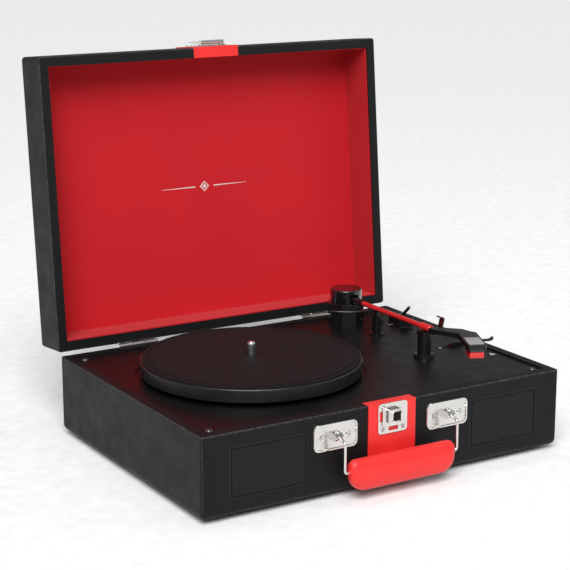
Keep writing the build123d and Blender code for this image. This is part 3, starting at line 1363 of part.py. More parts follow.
# Folded back over the lid, with a window for the keeper
WINDOW_NEAR = 12.3
WINDOW_FAR = 26.0
with BuildPart() as latch_hasp:
    with BuildSketch(TOPWALL.offset(HASP_OUT - HASP_T / 2)):
        with Locations((0, HASP_Y + HASP_L / 2)):
            Rectangle(HASP_W, HASP_L)
    extrude(amount=HASP_T)
    fillet(latch_hasp.edges().filter_by(Axis(RIM.origin, RIM.y_dir)).sort_by(LID_DEPTH)[-2:], 5)
    with BuildSketch(TOPWALL.offset(HASP_OUT - HASP_T / 2)):
        with Locations((0, HASP_Y + (WINDOW_NEAR + WINDOW_FAR) / 2)):
            RectangleRounded(KEEPER_W + 1.2, WINDOW_FAR - WINDOW_NEAR, 1.2)
    extrude(amount=HASP_T, mode=Mode.SUBTRACT)
    with BuildSketch(along_latch(HASP_W / 2)):
        with Locations((HASP_Y, LATCH_SIGN * HASP_OUT)):
            Circle(HASP_BARREL)
    extrude(amount=HASP_W)
    with BuildSketch(along_latch(HASP_W / 2)):
        with Locations((HASP_Y, LATCH_SIGN * HASP_OUT)):
            Circle(HASP_PIN_R + RUN)
    extrude(amount=HASP_W, mode=Mode.SUBTRACT)
latch_hasp.part.label = "latch_hasp"
export_step(latch_hasp.part, "parts/latch_hasp.step")
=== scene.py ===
"""Looks of the suitcase record player: materials, finer pieces, floor, lights and camera.

Metres, in the frame's own axes: X to the right, Y to the back, Z up.
"""

import json
from math import cos, pi, radians, sin, sqrt

import bmesh
import bpy
from mathutils import Matrix, Vector


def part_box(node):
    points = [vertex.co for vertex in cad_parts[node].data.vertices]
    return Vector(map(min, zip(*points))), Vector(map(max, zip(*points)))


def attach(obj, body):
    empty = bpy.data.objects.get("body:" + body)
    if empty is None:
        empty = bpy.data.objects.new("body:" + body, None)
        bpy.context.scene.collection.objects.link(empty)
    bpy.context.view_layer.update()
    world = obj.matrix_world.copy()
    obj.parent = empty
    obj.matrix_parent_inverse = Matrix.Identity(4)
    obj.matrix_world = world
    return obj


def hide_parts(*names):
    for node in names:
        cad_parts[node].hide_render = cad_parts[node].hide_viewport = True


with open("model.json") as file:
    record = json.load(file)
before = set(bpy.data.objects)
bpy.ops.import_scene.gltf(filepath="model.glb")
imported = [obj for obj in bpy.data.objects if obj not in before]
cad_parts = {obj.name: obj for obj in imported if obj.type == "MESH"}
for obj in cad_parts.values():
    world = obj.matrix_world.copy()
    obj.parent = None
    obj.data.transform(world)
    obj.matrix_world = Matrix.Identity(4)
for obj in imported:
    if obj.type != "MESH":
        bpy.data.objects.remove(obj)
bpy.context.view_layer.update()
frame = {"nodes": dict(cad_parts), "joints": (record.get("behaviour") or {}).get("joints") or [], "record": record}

MM = 0.001
JOINTS = {joint["name"]: joint for joint in frame["joints"]}

# ---------------------------------------------------------------- places
CASE_LOW, CASE_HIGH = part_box("base_shell")
FRONT = CASE_LOW.y
BASE_TOP = CASE_HIGH.z
DECK_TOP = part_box("deck_plate")[1].z
LEAN = radians(5.1)
LID_W = CASE_HIGH.x - CASE_LOW.x
LID_L = CASE_HIGH.y - CASE_LOW.y
LID_H = 42 * MM
WALL = 9 * MM
HINGE = Vector(JOINTS["lid_hinge"]["pos_m"])
RIM = HINGE + Vector((0, 2.8 * sin(LEAN) + 1.1 * cos(LEAN), 2.8 * cos(LEAN) - 1.1 * sin(LEAN))) * MM
PIVOT = Vector(JOINTS["tonearm_swing"]["pos_m"])
HEAD_ANGLE = radians(25)
HEAD = Vector((PIVOT.x + 3 * MM, PIVOT.y - 196 * MM, PIVOT.z))


def lid_point(x, up, depth):
    """A point of the open lid: up from its hinged edge along the rim, depth from the rim into the lid."""
    y = RIM.y + up * sin(LEAN) + depth * cos(LEAN)
    z = RIM.z + up * cos(LEAN) - depth * sin(LEAN)
    return Vector((x, y, z))


def head_point(across, back, up):
    """A point of the headshell: across to its right, back from the stylus, up from the arm's middle."""
    return HEAD + Vector(
        (
            across * cos(HEAD_ANGLE) + back * sin(HEAD_ANGLE),
            -across * sin(HEAD_ANGLE) + back * cos(HEAD_ANGLE),
            up,
        )
    )


# ---------------------------------------------------------------- material nodes
def node(tree, kind, inputs=None, **settings):
    """One shader node, with its settings, its values and its links."""
    made = tree.nodes.new(kind)
    for key, value in settings.items():
        setattr(made, key, value)
    for key, value in (inputs or {}).items():
        if isinstance(value, bpy.types.NodeSocket):
            tree.links.new(value, made.inputs[key])
        else:
            made.inputs[key].default_value = value
    return made


def surface(name, rough, metallic=0.0, specular=0.5, coat=0.0, sheen=0.0):
    """A new material, whose even values stand on its shader's own sockets."""
    made = bpy.data.materials.new(name)
    made.use_nodes = True
    shader = made.node_tree.nodes["Principled BSDF"]
    shader.inputs["Roughness"].default_value = rough
    shader.inputs["Metallic"].default_value = metallic
    shader.inputs["Specular IOR Level"].default_value = specular
    shader.inputs["Coat Weight"].default_value = coat
    shader.inputs["Coat Roughness"].default_value = 0.08
    shader.inputs["Sheen Weight"].default_value = sheen
    shader.inputs["Sheen Roughness"].default_value = 0.45
    return made


def place(tree, stretch=(1, 1, 1)):
    """The point in the frame's own axes, stretched so that a grain can run one way."""
    spot = node(tree, "ShaderNodeTexCoord").outputs["Object"]
    return node(tree, "ShaderNodeMapping", {"Vector": spot, "Scale": stretch}).outputs["Vector"]


def noise(tree, scale, detail=3.0, stretch=(1, 1, 1)):
    """Soft noise with about scale features a metre."""
    return node(
        tree, "ShaderNodeTexNoise", {"Vector": place(tree, stretch), "Scale": scale, "Detail": detail}
    ).outputs["Fac"]


def cells(tree, scale, stretch=(1, 1, 1)):
    """Pebbles with about scale cells a metre, 0 in the creases between them."""
    return node(
        tree,
        "ShaderNodeTexVoronoi",
        {"Vector": place(tree, stretch), "Scale": scale, "Randomness": 0.9},
        feature="DISTANCE_TO_EDGE",
    ).outputs["Distance"]


def spread(tree, value, low, high, to_low, to_high):
    """The value mapped from low..high to to_low..to_high, and held at both ends."""
    return node(
        tree,
        "ShaderNodeMapRange",
        {"Value": value, "From Min": low, "From Max": high, "To Min": to_low, "To Max": to_high},
    ).outputs["Result"]


def maths(tree, operation, first, second):
    return node(tree, "ShaderNodeMath", {0: first, 1: second}, operation=operation).outputs["Value"]


def blend_colour(tree, factor, first, second):
    """A colour between two, each a colour of four numbers or a socket."""
    made = node(tree, "ShaderNodeMix", {0: factor, 6: first, 7: second}, data_type="RGBA")
    return made.outputs[2]


def wire_up(material, colour=None, rough=None, height=None, depth=0.1 * MM, strength=0.6):
    """Links a material's varying colour, roughness and surface relief to its shader."""
    tree = material.node_tree
    shader = tree.nodes["Principled BSDF"]
    if colour is not None:
        tree.links.new(colour, shader.inputs["Base Color"])
    if rough is not None:
        tree.links.new(rough, shader.inputs["Roughness"])
    if height is not None:
        relief = node(
            tree, "ShaderNodeBump", {"Height": height, "Distance": depth, "Strength": strength}
        )
        tree.links.new(relief.outputs["Normal"], shader.inputs["Normal"])
    return material


def near_edges(tree, middle, half, turn=0.0, pivot=(0, 0, 0)):
    """1 along the edges of a box and 0 on its faces. A leaning box is turned upright about pivot first."""
    spot = node(tree, "ShaderNodeTexCoord").outputs["Object"]
    upright = node(
        tree,
        "ShaderNodeVectorRotate",
        {"Vector": spot, "Center": pivot, "Angle": turn},
        rotation_type="X_AXIS",
    ).outputs["Vector"]
    from_middle = node(tree, "ShaderNodeVectorMath", {0: upright, 1: middle}, operation="SUBTRACT")
    size = node(tree, "ShaderNodeVectorMath", {0: from_middle.outputs[0]}, operation="ABSOLUTE")
    inside = node(tree, "ShaderNodeVectorMath", {0: half, 1: size.outputs[0]}, operation="SUBTRACT")
    x, y, z = node(tree, "ShaderNodeSeparateXYZ", {0: inside.outputs[0]}).outputs
    lowest_two = maths(tree, "MINIMUM", x, y)
    other = maths(tree, "MINIMUM", maths(tree, "MAXIMUM", x, y), z)
    second = maths(tree, "MAXIMUM", lowest_two, other)
    return spread(tree, second, 0.3 * MM, 1.6 * MM, 1.0, 0.0)


# ---------------------------------------------------------------- materials
def leathercloth(name, middle, half, turn=0.0, pivot=(0, 0, 0)):
    """Black grained leathercloth, rubbed a little grey along the edges of its box, with painted shade darkening
    the creases of its grain.
    """
    made = surface(name, rough=0.5, specular=0.2)
    tree = made.node_tree
    grain = cells(tree, 1150, stretch=(0.6, 1, 1))
    cloud = noise(tree, 60)
    wear = maths(
        tree,
        "MULTIPLY",
        near_edges(tree, middle, half, turn, pivot),
        spread(tree, noise(tree, 700, 5), 0.45, 0.7, 0.08, 0.6),
    )
    ground = blend_colour(tree, cloud, (0.0036, 0.0039, 0.0044, 1), (0.0062, 0.0066, 0.0074, 1))
    # painted shade: the creases between the grain's pebbles are coloured darker
    crease_shade_mask = spread(tree, grain, 0.0, 0.12, 0.0, 1.0)
    crease_shaded = blend_colour(tree, crease_shade_mask, (0.0022, 0.0022, 0.0025, 1), ground)
    colour = blend_colour(tree, wear, crease_shaded, (0.13, 0.13, 0.14, 1))
    rough = spread(tree, cloud, 0.3, 0.7, 0.46, 0.6)
    return wire_up(made, colour, rough, grain, 0.35 * MM, 0.55)


def red_leathercloth():
    made = surface("red_leathercloth", rough=0.42, specular=0.45, sheen=0.05)
    tree = made.node_tree
    grain = cells(tree, 1500)
    cloud = noise(tree, 45)
    colour = blend_colour(tree, cloud, (0.6, 0.012, 0.012, 1), (0.74, 0.022, 0.018, 1))
    return wire_up(made, colour, spread(tree, cloud, 0.3, 0.7, 0.36, 0.48), grain, 0.2 * MM, 0.35)


def red_paper_cloth():
    """The lid's lining: a matt cloth glued to paper, with a fine weave."""
    made = surface("red_paper_cloth", rough=0.75, specular=0.2, sheen=0.08)
    tree = made.node_tree
    across = noise(tree, 900, 2, stretch=(0.15, 1, 1))
    along = noise(tree, 900, 2, stretch=(1, 1, 0.15))
    weave = maths(tree, "ADD", across, along)
    cloud = noise(tree, 9, 4)
    colour = blend_colour(tree, cloud, (0.36, 0.004, 0.008, 1), (0.47, 0.008, 0.013, 1))
    return wire_up(made, colour, spread(tree, cloud, 0.3, 0.7, 0.68, 0.82), weave, 0.08 * MM, 0.5)


def plated(name, colour, rough=0.16):
    """Bright plate with faint wiping marks and soft waviness."""
    made = surface(name, rough=rough, metallic=1.0)
    tree = made.node_tree
    marks = noise(tree, 700, 4, stretch=(0.12, 1, 1))
    wave = noise(tree, 120, 2)
    dull = [part * 0.8 for part in colour[:3]] + [1]
    shade = blend_colour(tree, wave, dull, colour)
    gloss = spread(tree, marks, 0.35, 0.75, rough * 0.7, rough * 1.9)
    return wire_up(made, shade, gloss, wave, 0.25 * MM, 0.35)


def turned_metal(name, colour, rough=0.32):
    """Machined metal with fine rings round it."""
    made = surface(name, rough=rough, metallic=1.0)
    tree = made.node_tree
    rings = noise(tree, 2600, 2, stretch=(0.08, 0.08, 1))
    shade = blend_colour(tree, rings, [part * 0.75 for part in colour[:3]] + [1], colour)
    gloss = spread(tree, rings, 0.3, 0.7, rough * 0.8, rough * 1.3)
    return wire_up(made, shade, gloss, rings, 0.03 * MM, 0.5)


def moulded(name, colour, rough, grain=0.0, specular=0.45, coat=0.0, scale=2200):
    """Moulded plastic or paint: a slight cloud in its colour and gloss, and a fine texture."""
    made = surface(name, rough=rough, specular=specular, coat=coat)
    tree = made.node_tree
    cloud = noise(tree, 70, 4)
    shade = blend_colour(tree, cloud, [part * 0.8 for part in colour[:3]] + [1], colour)
    texture = noise(tree, scale, 2)
    dull = spread(tree, cloud, 0.3, 0.7, rough * 0.88, min(1.0, rough * 1.15))
    return wire_up(made, shade, dull, texture, max(grain, 0.01 * MM), 0.5)


def grey_wear(name, colour, rough):
    """Painted or blackened steel that shows a little bare metal in specks."""
    made = surface(name, rough=rough, metallic=0.6)
    tree = made.node_tree
    specks = spread(tree, noise(tree, 1400, 5), 0.62, 0.72, 0.0, 0.7)
    shade = blend_colour(tree, specks, colour, (0.35, 0.35, 0.36, 1))
    return wire_up(made, shade, spread(tree, specks, 0, 1, rough, rough * 0.6), specks, 0.03 * MM, 0.4)


BASE_MIDDLE = (CASE_LOW + CASE_HIGH) / 2
BASE_HALF = (CASE_HIGH - CASE_LOW) / 2
LID_MIDDLE = RIM + Vector((0, LID_H / 2, LID_L / 2))
LID_HALF = Vector((LID_W, LID_H, LID_L)) / 2

LOOKS = {
    "leathercloth": leathercloth("leathercloth_base", BASE_MIDDLE, BASE_HALF),
    "red_cloth": red_leathercloth(),
    "red_lining": red_paper_cloth(),
    "nickel": plated("nickel", (0.80, 0.79, 0.76, 1)),
    "screw_steel": plated("screw_steel", (0.72, 0.71, 0.69, 1), 0.2),
    "dark_screw": grey_wear("dark_screw", (0.05, 0.05, 0.055, 1), 0.35),
    "black_rubber": moulded("black_rubber", (0.0055, 0.0055, 0.0060, 1), 0.7, 0.12 * MM, 0.18),
    "grille_black": moulded("grille_black", (0.0040, 0.0044, 0.0056, 1), 0.46, 0.08 * MM, 0.26),
    "speaker_steel": grey_wear("speaker_steel", (0.04, 0.04, 0.045, 1), 0.4),
    "deck_black": moulded("deck_black", (0.0034, 0.0036, 0.0038, 1), 0.4, 0.10 * MM, 0.22),
    "bronze": turned_metal("bronze", (0.52, 0.33, 0.15, 1), 0.45),
    "steel": turned_metal("steel", (0.66, 0.66, 0.68, 1), 0.24),
    "platter_black": moulded("platter_black", (0.006, 0.006, 0.007, 1), 0.34, 0.05 * MM, 0.5),
    "motor_steel": grey_wear("motor_steel", (0.35, 0.35, 0.36, 1), 0.38),
    "gloss_black": moulded("gloss_black", (0.006, 0.006, 0.007, 1), 0.14, 0.0, 0.5, coat=0.6),
    "satin_black": moulded("satin_black", (0.0050, 0.0054, 0.0062, 1), 0.26, 0.05 * MM, 0.4),
    "red_metal": moulded("red_metal", (0.50, 0.016, 0.018, 1), 0.22, 0.0, 0.5, coat=0.8),
    "red_plastic": moulded("red_plastic", (0.62, 0.018, 0.018, 1), 0.26, 0.0, 0.5, coat=0.3),
    "headshell_grey": moulded("headshell_grey", (0.0050, 0.0052, 0.0055, 1), 0.3, 0.05 * MM, 0.35),
    "board_green": moulded("board_green", (0.012, 0.12, 0.045, 1), 0.32, 0.05 * MM, 0.5),
    "brass_plate": plated("brass_plate", (0.80, 0.58, 0.24, 1), 0.22),
    "natural_nylon": moulded("natural_nylon", (0.75, 0.73, 0.67, 1), 0.42, 0.02 * MM, 0.45),
}
LID_CLOTH = leathercloth("leathercloth_lid", LID_MIDDLE, LID_HALF, LEAN, RIM)
DARK_THREAD = moulded("dark_thread", (0.004, 0.004, 0.0045, 1), 0.65, 0.05 * MM, 0.25)
RED_THREAD = moulded("red_thread", (0.42, 0.008, 0.01, 1), 0.6, 0.05 * MM, 0.3)
PALE_PRINT = moulded("pale_print", (0.62, 0.52, 0.5, 1), 0.6, 0.0, 0.3)
GREY_PRINT = moulded("grey_print", (0.46, 0.46, 0.47, 1), 0.5, 0.0, 0.3)
GREY_PLATE = moulded("grey_plate", (0.30, 0.30, 0.31, 1), 0.34, 0.03 * MM, 0.5)
# painted shade: a near-black material for the shaded inside of the keeper's opening
HOLLOW_SHADE = moulded("painted_hollow_shade", (0.003, 0.003, 0.003, 1), 0.6, 0.0, 0.2)


def paint(piece, material):
    """Gives every slot of a piece, or its first one, the material."""
    if not piece.data.materials:
        piece.data.materials.append(material)
    for slot in piece.material_slots:
        slot.material = material


for part in frame["record"]["subparts"]:
    paint(frame["nodes"][part["node"]], LOOKS[part["material_slot"]])
paint(frame["nodes"]["lid_shell"], LID_CLOTH)


# ---------------------------------------------------------------- making pieces
def piece_from(name, shape, material, body, smooth=True):
    """Turns a bmesh into a piece that rides on a body."""
    mesh = bpy.data.meshes.new(name)
    bmesh.ops.recalc_face_normals(shape, faces=shape.faces)
    shape.to_mesh(mesh)
    shape.free()
    made = bpy.data.objects.new(name, mesh)
    bpy.context.scene.collection.objects.link(made)
    for face in mesh.polygons:
        face.use_smooth = smooth
    paint(made, material)
    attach(made, body)
    return made


def add_grid(shape, rows):
    """A sheet of quads through rows of points."""
    made = [[shape.verts.new(point) for point in row] for row in rows]
    for first, second in zip(made, made[1:]):
        for i in range(len(first) - 1):
            shape.faces.new((first[i], first[i + 1], second[i + 1], second[i]))
    return made


def add_bead(shape, start, end, radius):
    """A stitch: a rounded grain from start to end."""
    along = end - start
    turn = along.to_track_quat("X", "Z").to_matrix().to_4x4()
    size = Matrix.Diagonal((along.length / 2 + radius, radius, radius, 1))
    bmesh.ops.create_icosphere(
        shape, subdivisions=2, radius=1, matrix=Matrix.Translation((start + end) / 2) @ turn @ size
    )


def add_plate(shape, outline, normal, thick):
    """A flat plate with the given outline, its back on the outline and its face out along normal."""
    back = [shape.verts.new(point) for point in outline]
    front = [shape.verts.new(point + normal * thick) for point in outline]
    shape.faces.new(back)
    shape.faces.new(front)
    for i in range(len(outline)):
        j = (i + 1) % len(outline)
        shape.faces.new((back[i], back[j], front[j], front[i]))


def add_tube(shape, points, radius, sides=10, closed=False):
    """A round bar through the points, whose joints are square to the path."""
    rings = []
    count = len(points)
    for i, point in enumerate(points):
        before = points[i - 1] if (i or closed) else point
        after = points[(i + 1) % count] if (i < count - 1 or closed) else point
        turn = (after - before).to_track_quat("Z", "Y").to_matrix()
        ring = [Vector((cos(a), sin(a), 0)) * radius for a in (2 * pi * k / sides for k in range(sides))]
        rings.append([shape.verts.new(point + turn @ spot) for spot in ring])
    pairs = list(zip(rings, rings[1:])) + ([(rings[-1], rings[0])] if closed else [])
    for first, second in pairs:
        for k in range(sides):
            m = (k + 1) % sides
            shape.faces.new((first[k], first[m], second[m], second[k]))
    if not closed:
        shape.faces.new(rings[0])
        shape.faces.new(rings[-1])


# ---------------------------------------------------------------- handle's padded grip
GRIP_LOW, GRIP_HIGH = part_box("handle_grip")
GRIP_MID = (GRIP_LOW + GRIP_HIGH) / 2
GRIP_HALF = (GRIP_HIGH - GRIP_LOW) / 2


def grip_section(x, shrink):
    """The grip's half height, middle height and half thickness at x: rounder at its two lower corners."""
    from_end = GRIP_HALF.x - shrink - abs(x)
    low_r, high_r, side_r = 15 * MM, 6 * MM, 7 * MM

    def drop(radius):
        inside = max(0.0, radius - from_end)
        return radius - sqrt(max(0.0, radius**2 - inside**2))

    low = GRIP_LOW.z + shrink + drop(low_r)
    high = GRIP_HIGH.z - shrink - drop(high_r)
    return (high - low) / 2, (high + low) / 2, GRIP_HALF.y - shrink - drop(side_r) * 0.75


def grip_form(shrink):
    """The grip as a closed loft along the handle."""
    shape = bmesh.new()
    stations, around = 56, 40
    reach = GRIP_HALF.x - shrink
    rings = []
    for i in range(stations + 1):
        x = -reach * cos(pi * i / stations) * 0.9995
        tall, middle, thick = grip_section(x, shrink)
        ring = []
        for k in range(around):
            a = 2 * pi * k / around
            y = thick * abs(cos(a)) ** 0.72 * (1 if cos(a) > 0 else -1)
            z = tall * abs(sin(a)) ** 0.72 * (1 if sin(a) > 0 else -1)
            ring.append(shape.verts.new((x, GRIP_MID.y + y, middle + z)))
        rings.append(ring)
    for first, second in zip(rings, rings[1:]):
        for k in range(around):
            m = (k + 1) % around
            shape.faces.new((first[k], first[m], second[m], second[k]))
    shape.faces.new(rings[0])
    shape.faces.new(rings[-1])
    return shape


def inflate(piece, voxel, pressure, cap):
    """Swells a piece as stuffed cloth by simulation. No point moves more than cap."""
    bpy.context.view_layer.objects.active = piece
    remesh = piece.modifiers.new("remesh", "REMESH")
    remesh.mode = "VOXEL"
    remesh.voxel_size = voxel
    bpy.ops.object.modifier_apply(modifier=remesh.name)
    before = [v.co.copy() for v in piece.data.vertices]
    cloth = piece.modifiers.new("cloth", "CLOTH")
    cloth.settings.use_pressure = True
    cloth.settings.uniform_pressure_force = pressure
    cloth.settings.tension_stiffness = 30
    cloth.settings.compression_stiffness = 30
    cloth.settings.effector_weights.gravity = 0
    cloth.point_cache.frame_start = 1
    cloth.point_cache.frame_end = 20
    for step in range(1, 21):
        bpy.context.scene.frame_set(step)
    bpy.ops.object.modifier_apply(modifier=cloth.name)
    bpy.context.scene.frame_set(1)
    for vertex, start in zip(piece.data.vertices, before):
        move = vertex.co - start
        if move.length > cap:
            vertex.co = start + move.normalized() * cap


def stay_inside(piece, low, high, room):
    """Keeps every point of a piece within its solid's box and a little room round it."""
    for vertex in piece.data.vertices:
        for axis in range(3):
            least, most = low[axis] - room[axis], high[axis] + room[axis]
            vertex.co[axis] = min(max(vertex.co[axis], least), most)


grip = piece_from("grip_cover", grip_form(0.9 * MM), LOOKS["red_cloth"], "handle")
inflate(grip, 2.2 * MM, 3.0, 1.1 * MM)
stay_inside(grip, GRIP_LOW, GRIP_HIGH, (0, 0.3 * MM, 0.3 * MM))
smoothing = grip.modifiers.new("smooth", "SUBSURF")
smoothing.levels = 1
smoothing.render_levels = 1
for face in grip.data.polygons:
    face.use_smooth = True
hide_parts("handle_grip")

# the cover is folded round the core and sewn along its lower back edge
seam = bmesh.new()
SEAM_Z = GRIP_LOW.z + 7 * MM
SEAM_Y = GRIP_HIGH.y - 0.35 * MM
SEAM_REACH = GRIP_HALF.x - 13 * MM
SEAM_STITCHES = 27
add_tube(
    seam,
    [Vector((x * SEAM_REACH, SEAM_Y - 0.2 * MM, SEAM_Z - 1.6 * MM)) for x in (-1, -0.5, 0, 0.5, 1)],
    0.5 * MM,
)
for i in range(SEAM_STITCHES):
    x = SEAM_REACH * (2 * (i + 0.5) / SEAM_STITCHES - 1)
    add_bead(seam, Vector((x - 1.0 * MM, SEAM_Y, SEAM_Z)), Vector((x + 1.0 * MM, SEAM_Y, SEAM_Z)), 0.3 * MM)
piece_from("grip_seam", seam, RED_THREAD, "handle")

# ---------------------------------------------------------------- speaker panels
GRILLE_LOW, GRILLE_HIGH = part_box("speaker_grilles")
PANEL_W = 72.6 * MM
PANEL_H = GRILLE_HIGH.z - GRILLE_LOW.z
GROOVE_IN = 2.0 * MM
GROOVE_W = 1.0 * MM
RIB_STEP = 1.5 * MM


def panel_stops(length):
    """Where a panel's sheet has lines along one side, from one edge to the other: frame, groove, field."""
    half = length / 2
    edge = [half, half - GROOVE_IN, half - GROOVE_IN - 0.25 * MM]
    edge += [half - GROOVE_IN - GROOVE_W, half - GROOVE_IN - GROOVE_W - 0.25 * MM]
    return [-stop for stop in edge], edge[::-1]


def panel_depth(x, z):
    """How far the panel's face is behind the case's front: a shallow groove round a finely ribbed field."""
    from_edge = min(PANEL_W / 2 - abs(x), PANEL_H / 2 - abs(z))
    if from_edge < GROOVE_IN + 0.01 * MM:
        return 0.1 * MM
    if from_edge < GROOVE_IN + GROOVE_W + 0.01 * MM:
        return 0.75 * MM
    return 0.25 * MM + 0.11 * MM * cos(2 * pi * z / RIB_STEP)


panels = bmesh.new()
left_x, right_x = panel_stops(PANEL_W)
low_z, high_z = panel_stops(PANEL_H)
field_half = high_z[0]
steps = int(2 * field_half / (RIB_STEP / 6))
field_z = [field_half * (2 * i / steps - 1) for i in range(1, steps)]
for middle in (GRILLE_LOW.x + PANEL_W / 2, GRILLE_HIGH.x - PANEL_W / 2):
    centre_z = (GRILLE_LOW.z + GRILLE_HIGH.z) / 2
    add_grid(
        panels,
        [
            [Vector((middle + x, FRONT + panel_depth(x, z), centre_z + z)) for x in left_x + right_x]
            for z in low_z + field_z + high_z
        ],
    )
speaker_panels = piece_from(
    "speaker_panels", panels, LOOKS["grille_black"], "base", smooth=False
)
backing = speaker_panels.modifiers.new("thickness", "SOLIDIFY")
backing.thickness = 1.2 * MM
backing.offset = -1
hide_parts("speaker_grilles")

# ---------------------------------------------------------------- stitches of the case
CROSS = 1.6 * MM
CROSS_STEP = 5.0 * MM
CROSS_INSET = 6.5 * MM


def add_cross(shape, centre, across, up):
    """A cross stitch, its two threads from corner to corner."""
    add_bead(shape, centre - across * CROSS - up * CROSS, centre + across * CROSS + up * CROSS, 0.28 * MM)
    add_bead(shape, centre + across * CROSS - up * CROSS, centre - across * CROSS + up * CROSS, 0.28 * MM)


X = Vector((1, 0, 0))
Z = Vector((0, 0, 1))
UP_LID = lid_point(0, 1, 0) - lid_point(0, 0, 0)

base_crosses = bmesh.new()
tall = BASE_TOP - CASE_LOW.z
for i in range(int((tall - 12 * MM) / CROSS_STEP) + 1):
    z = CASE_LOW.z + 7 * MM + i * CROSS_STEP
    for x in (CASE_LOW.x + CROSS_INSET, CASE_HIGH.x - CROSS_INSET):
        add_cross(base_crosses, Vector((x, FRONT - 0.05 * MM, z)), X, Z)
piece_from("base_stitches", base_crosses, DARK_THREAD, "base")

lid_crosses = bmesh.new()
for i in range(int((LID_L - 12 * MM) / CROSS_STEP) + 1):
    up = 7 * MM + i * CROSS_STEP
    for x in (CASE_LOW.x + WALL / 2, CASE_HIGH.x - WALL / 2):
        add_cross(lid_crosses, lid_point(x, up, -0.02 * MM), X, UP_LID)
piece_from("lid_stitches", lid_crosses, DARK_THREAD, "lid")

# ---------------------------------------------------------------- ornament on the lining
LINING_FACE = 37 * MM
ornament = bmesh.new()
towards = lid_point(0, 0, 0) - lid_point(0, 0, 1)
ORNAMENT_MID = 131 * MM
for sign in (-1, 1):
    add_plate(
        ornament,
        [
            lid_point(sign * 10 * MM, ORNAMENT_MID - 0.6 * MM, LINING_FACE),
            lid_point(sign * 46 * MM, ORNAMENT_MID - 0.12 * MM, LINING_FACE),
            lid_point(sign * 46 * MM, ORNAMENT_MID + 0.12 * MM, LINING_FACE),
            lid_point(sign * 10 * MM, ORNAMENT_MID + 0.6 * MM, LINING_FACE),
        ],
        towards,
        0.12 * MM,
    )
for reach in (5.0 * MM, 2.2 * MM):
    ring = [(reach, 0), (0, reach), (-reach, 0), (0, -reach)]
    inner = 0.72 if reach > 3 * MM else 0.0
    for i in range(4):
        (x1, u1), (x2, u2) = ring[i], ring[(i + 1) % 4]
        outline = [
            lid_point(x1, ORNAMENT_MID + u1, LINING_FACE),
            lid_point(x2, ORNAMENT_MID + u2, LINING_FACE),
            lid_point(x2 * inner, ORNAMENT_MID + u2 * inner, LINING_FACE),
        ]
        if inner:
            outline.append(lid_point(x1 * inner, ORNAMENT_MID + u1 * inner, LINING_FACE))
        add_plate(ornament, outline, towards, 0.12 * MM)
piece_from("lining_ornament", ornament, PALE_PRINT, "lid", smooth=False)

# ---------------------------------------------------------------- headshell's ribbed plate
HEAD_TOP = 2.0 * MM
plate = bmesh.new()
PLATE_FRONT, PLATE_BACK = -7.5 * MM, 15 * MM
PLATE_HALF = 6.6 * MM
RIBS = 7
across_stops = [PLATE_HALF * (2 * i / (RIBS * 6) - 1) for i in range(RIBS * 6 + 1)]


def rib_rise(x, y):
    """The plate's height over the shell: lengthwise ribs that run out at both ends."""
    end = min(y - PLATE_FRONT, PLATE_BACK - y, PLATE_HALF - abs(x))
    rise = 0.08 * MM if end > 0.01 * MM else 0.02 * MM
    rib = 0.28 * MM * (0.5 - 0.5 * cos(2 * pi * RIBS * (x + PLATE_HALF) / (2 * PLATE_HALF)))
    return rise + (rib if end > 0.5 * MM else 0)


lengthwise = [PLATE_FRONT, PLATE_FRONT + 0.4 * MM, PLATE_FRONT + 1.0 * MM]
lengthwise += [PLATE_BACK - 1.0 * MM, PLATE_BACK - 0.4 * MM, PLATE_BACK]
add_grid(plate, [[head_point(x, y, HEAD_TOP + rib_rise(x, y)) for x in across_stops] for y in lengthwise])
piece_from("headshell_plate", plate, GREY_PLATE, "arm")

# ---------------------------------------------------------------- catch
KEEPER_MID = Vector((0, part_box("catch_plate")[0].y, 61.8 * MM))
TOWARDS_FRONT = Vector((0, -1, 0))


def keeper_corners(left, right, low, high, lift=0.0):
    """Corners of an upright rectangle on the keeper's face, lift in front of it."""
    return [
        KEEPER_MID + Vector((x, -lift, z))
        for x, z in ((left, low), (right, low), (right, high), (left, high))
    ]


bezel = bmesh.new()
add_tube(bezel, keeper_corners(-2.6 * MM, 4.8 * MM, -4.2 * MM, 4.2 * MM, -0.1 * MM), 0.6 * MM, closed=True)
for x in (-5.4 * MM, -4.2 * MM):
    add_bead(
        bezel,
        KEEPER_MID + Vector((x, 0, -4.2 * MM)),
        KEEPER_MID + Vector((x, 0, 4.2 * MM)),
        0.32 * MM,
    )
piece_from("keeper_bezel", bezel, LOOKS["nickel"], "base")
# painted shade: a dark flat sheet on the keeper's face stands for the shade inside its opening
opening_shade = bmesh.new()
add_plate(opening_shade, keeper_corners(-2.4 * MM, 4.6 * MM, -4 * MM, 4 * MM), TOWARDS_FRONT, 0.08 * MM)
piece_from("keeper_window_shade", opening_shade, HOLLOW_SHADE, "base", smooth=False)

# ---------------------------------------------------------------- marks on the deck
CASE_Y = BASE_MIDDLE.y
marks = bmesh.new()


def deck_point(x, y):
    return Vector((x * MM, CASE_Y + y * MM, DECK_TOP))


PRINT_T = 0.06 * MM
TRIANGLE = ((156.4, -61.4), (162.8, -61.4), (159.6, -55.0))
add_plate(marks, [deck_point(x, y) for x, y in TRIANGLE], Z, PRINT_T)
for x, y, wide, deep in (
    (149.5, 38.6, 7.0, 0.8),
    (140.5, 72.5, 5.0, 0.8),
    (154.0, -11.9, 6.0, 1.0),
    (132.1, -18.4, 2.2, 2.6),
):
    add_plate(
        marks,
        [
            deck_point(x - wide / 2, y - deep / 2),
            deck_point(x + wide / 2, y - deep / 2),
            deck_point(x + wide / 2, y + deep / 2),
            deck_point(x - wide / 2, y + deep / 2),
        ],
        Z,
        PRINT_T,
    )
piece_from("deck_marks", marks, GREY_PRINT, "base", smooth=False)

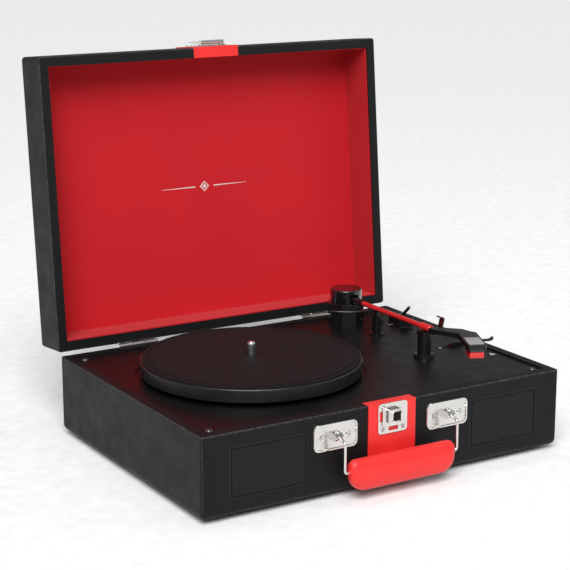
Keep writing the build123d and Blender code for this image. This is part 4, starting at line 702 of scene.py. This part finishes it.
# ---------------------------------------------------------------- floor, lights and camera
FLOOR_REACH = 30
FLOOR_Z = -0.1 * MM
floor_shape = bmesh.new()
edges = (-FLOOR_REACH, FLOOR_REACH)
add_grid(floor_shape, [[Vector((x, y, FLOOR_Z)) for x in edges] for y in edges])
floor_mesh = bpy.data.meshes.new("floor")
floor_shape.to_mesh(floor_mesh)
floor = bpy.data.objects.new("floor", floor_mesh)
bpy.context.scene.collection.objects.link(floor)
paint(floor, moulded("floor_white", (0.86, 0.86, 0.86, 1), 0.8, 0.0, 0.2))

world = bpy.data.worlds.new("studio")
world.use_nodes = True
world.node_tree.nodes["Background"].inputs["Color"].default_value = (1.0, 1.0, 1.0, 1)
world.node_tree.nodes["Background"].inputs["Strength"].default_value = 0.3
bpy.context.scene.world = world


def softbox(name, spot, target, size, energy):
    """A square area light at spot that faces target."""
    data = bpy.data.lights.new(name, "AREA")
    data.shape = "RECTANGLE"
    data.size, data.size_y = size
    data.energy = energy
    lamp = bpy.data.objects.new(name, data)
    lamp.location = spot
    lamp.rotation_euler = (Vector(target) - Vector(spot)).to_track_quat("-Z", "Y").to_euler()
    bpy.context.scene.collection.objects.link(lamp)
    return lamp


AIM = (0, 0, 0.1)
softbox("key", (-0.9, -1.3, 1.5), AIM, (0.9, 0.9), 7)
softbox("fill", (1.5, -0.9, 0.9), AIM, (0.8, 0.8), 3)
softbox("top", (0.1, 0.2, 1.7), AIM, (1.1, 0.7), 3)
daylight = bpy.data.lights.new("daylight", "SUN")
daylight.energy = 3.6
daylight.angle = radians(40)
window_light = bpy.data.objects.new("daylight", daylight)
window_light.rotation_euler = Vector((0.5, 0.75, -0.9)).to_track_quat("-Z", "Y").to_euler()
bpy.context.scene.collection.objects.link(window_light)

SENSOR = 36
LENS = 103.64
CAMERA_SPOT = (-0.7351, -1.1960, 0.4795)
CAMERA_DOWN = 13.673
CAMERA_TURN = 31.305
camera_data = bpy.data.cameras.new("camera")
camera_data.sensor_width = SENSOR
camera_data.lens = LENS
camera = bpy.data.objects.new("camera", camera_data)
camera.location = CAMERA_SPOT
camera.rotation_euler = (radians(90 - CAMERA_DOWN), 0, radians(-CAMERA_TURN))
bpy.context.scene.collection.objects.link(camera)
bpy.context.scene.camera = camera
bpy.context.scene.view_settings.view_transform = "Standard"

bpy.context.view_layer.update()
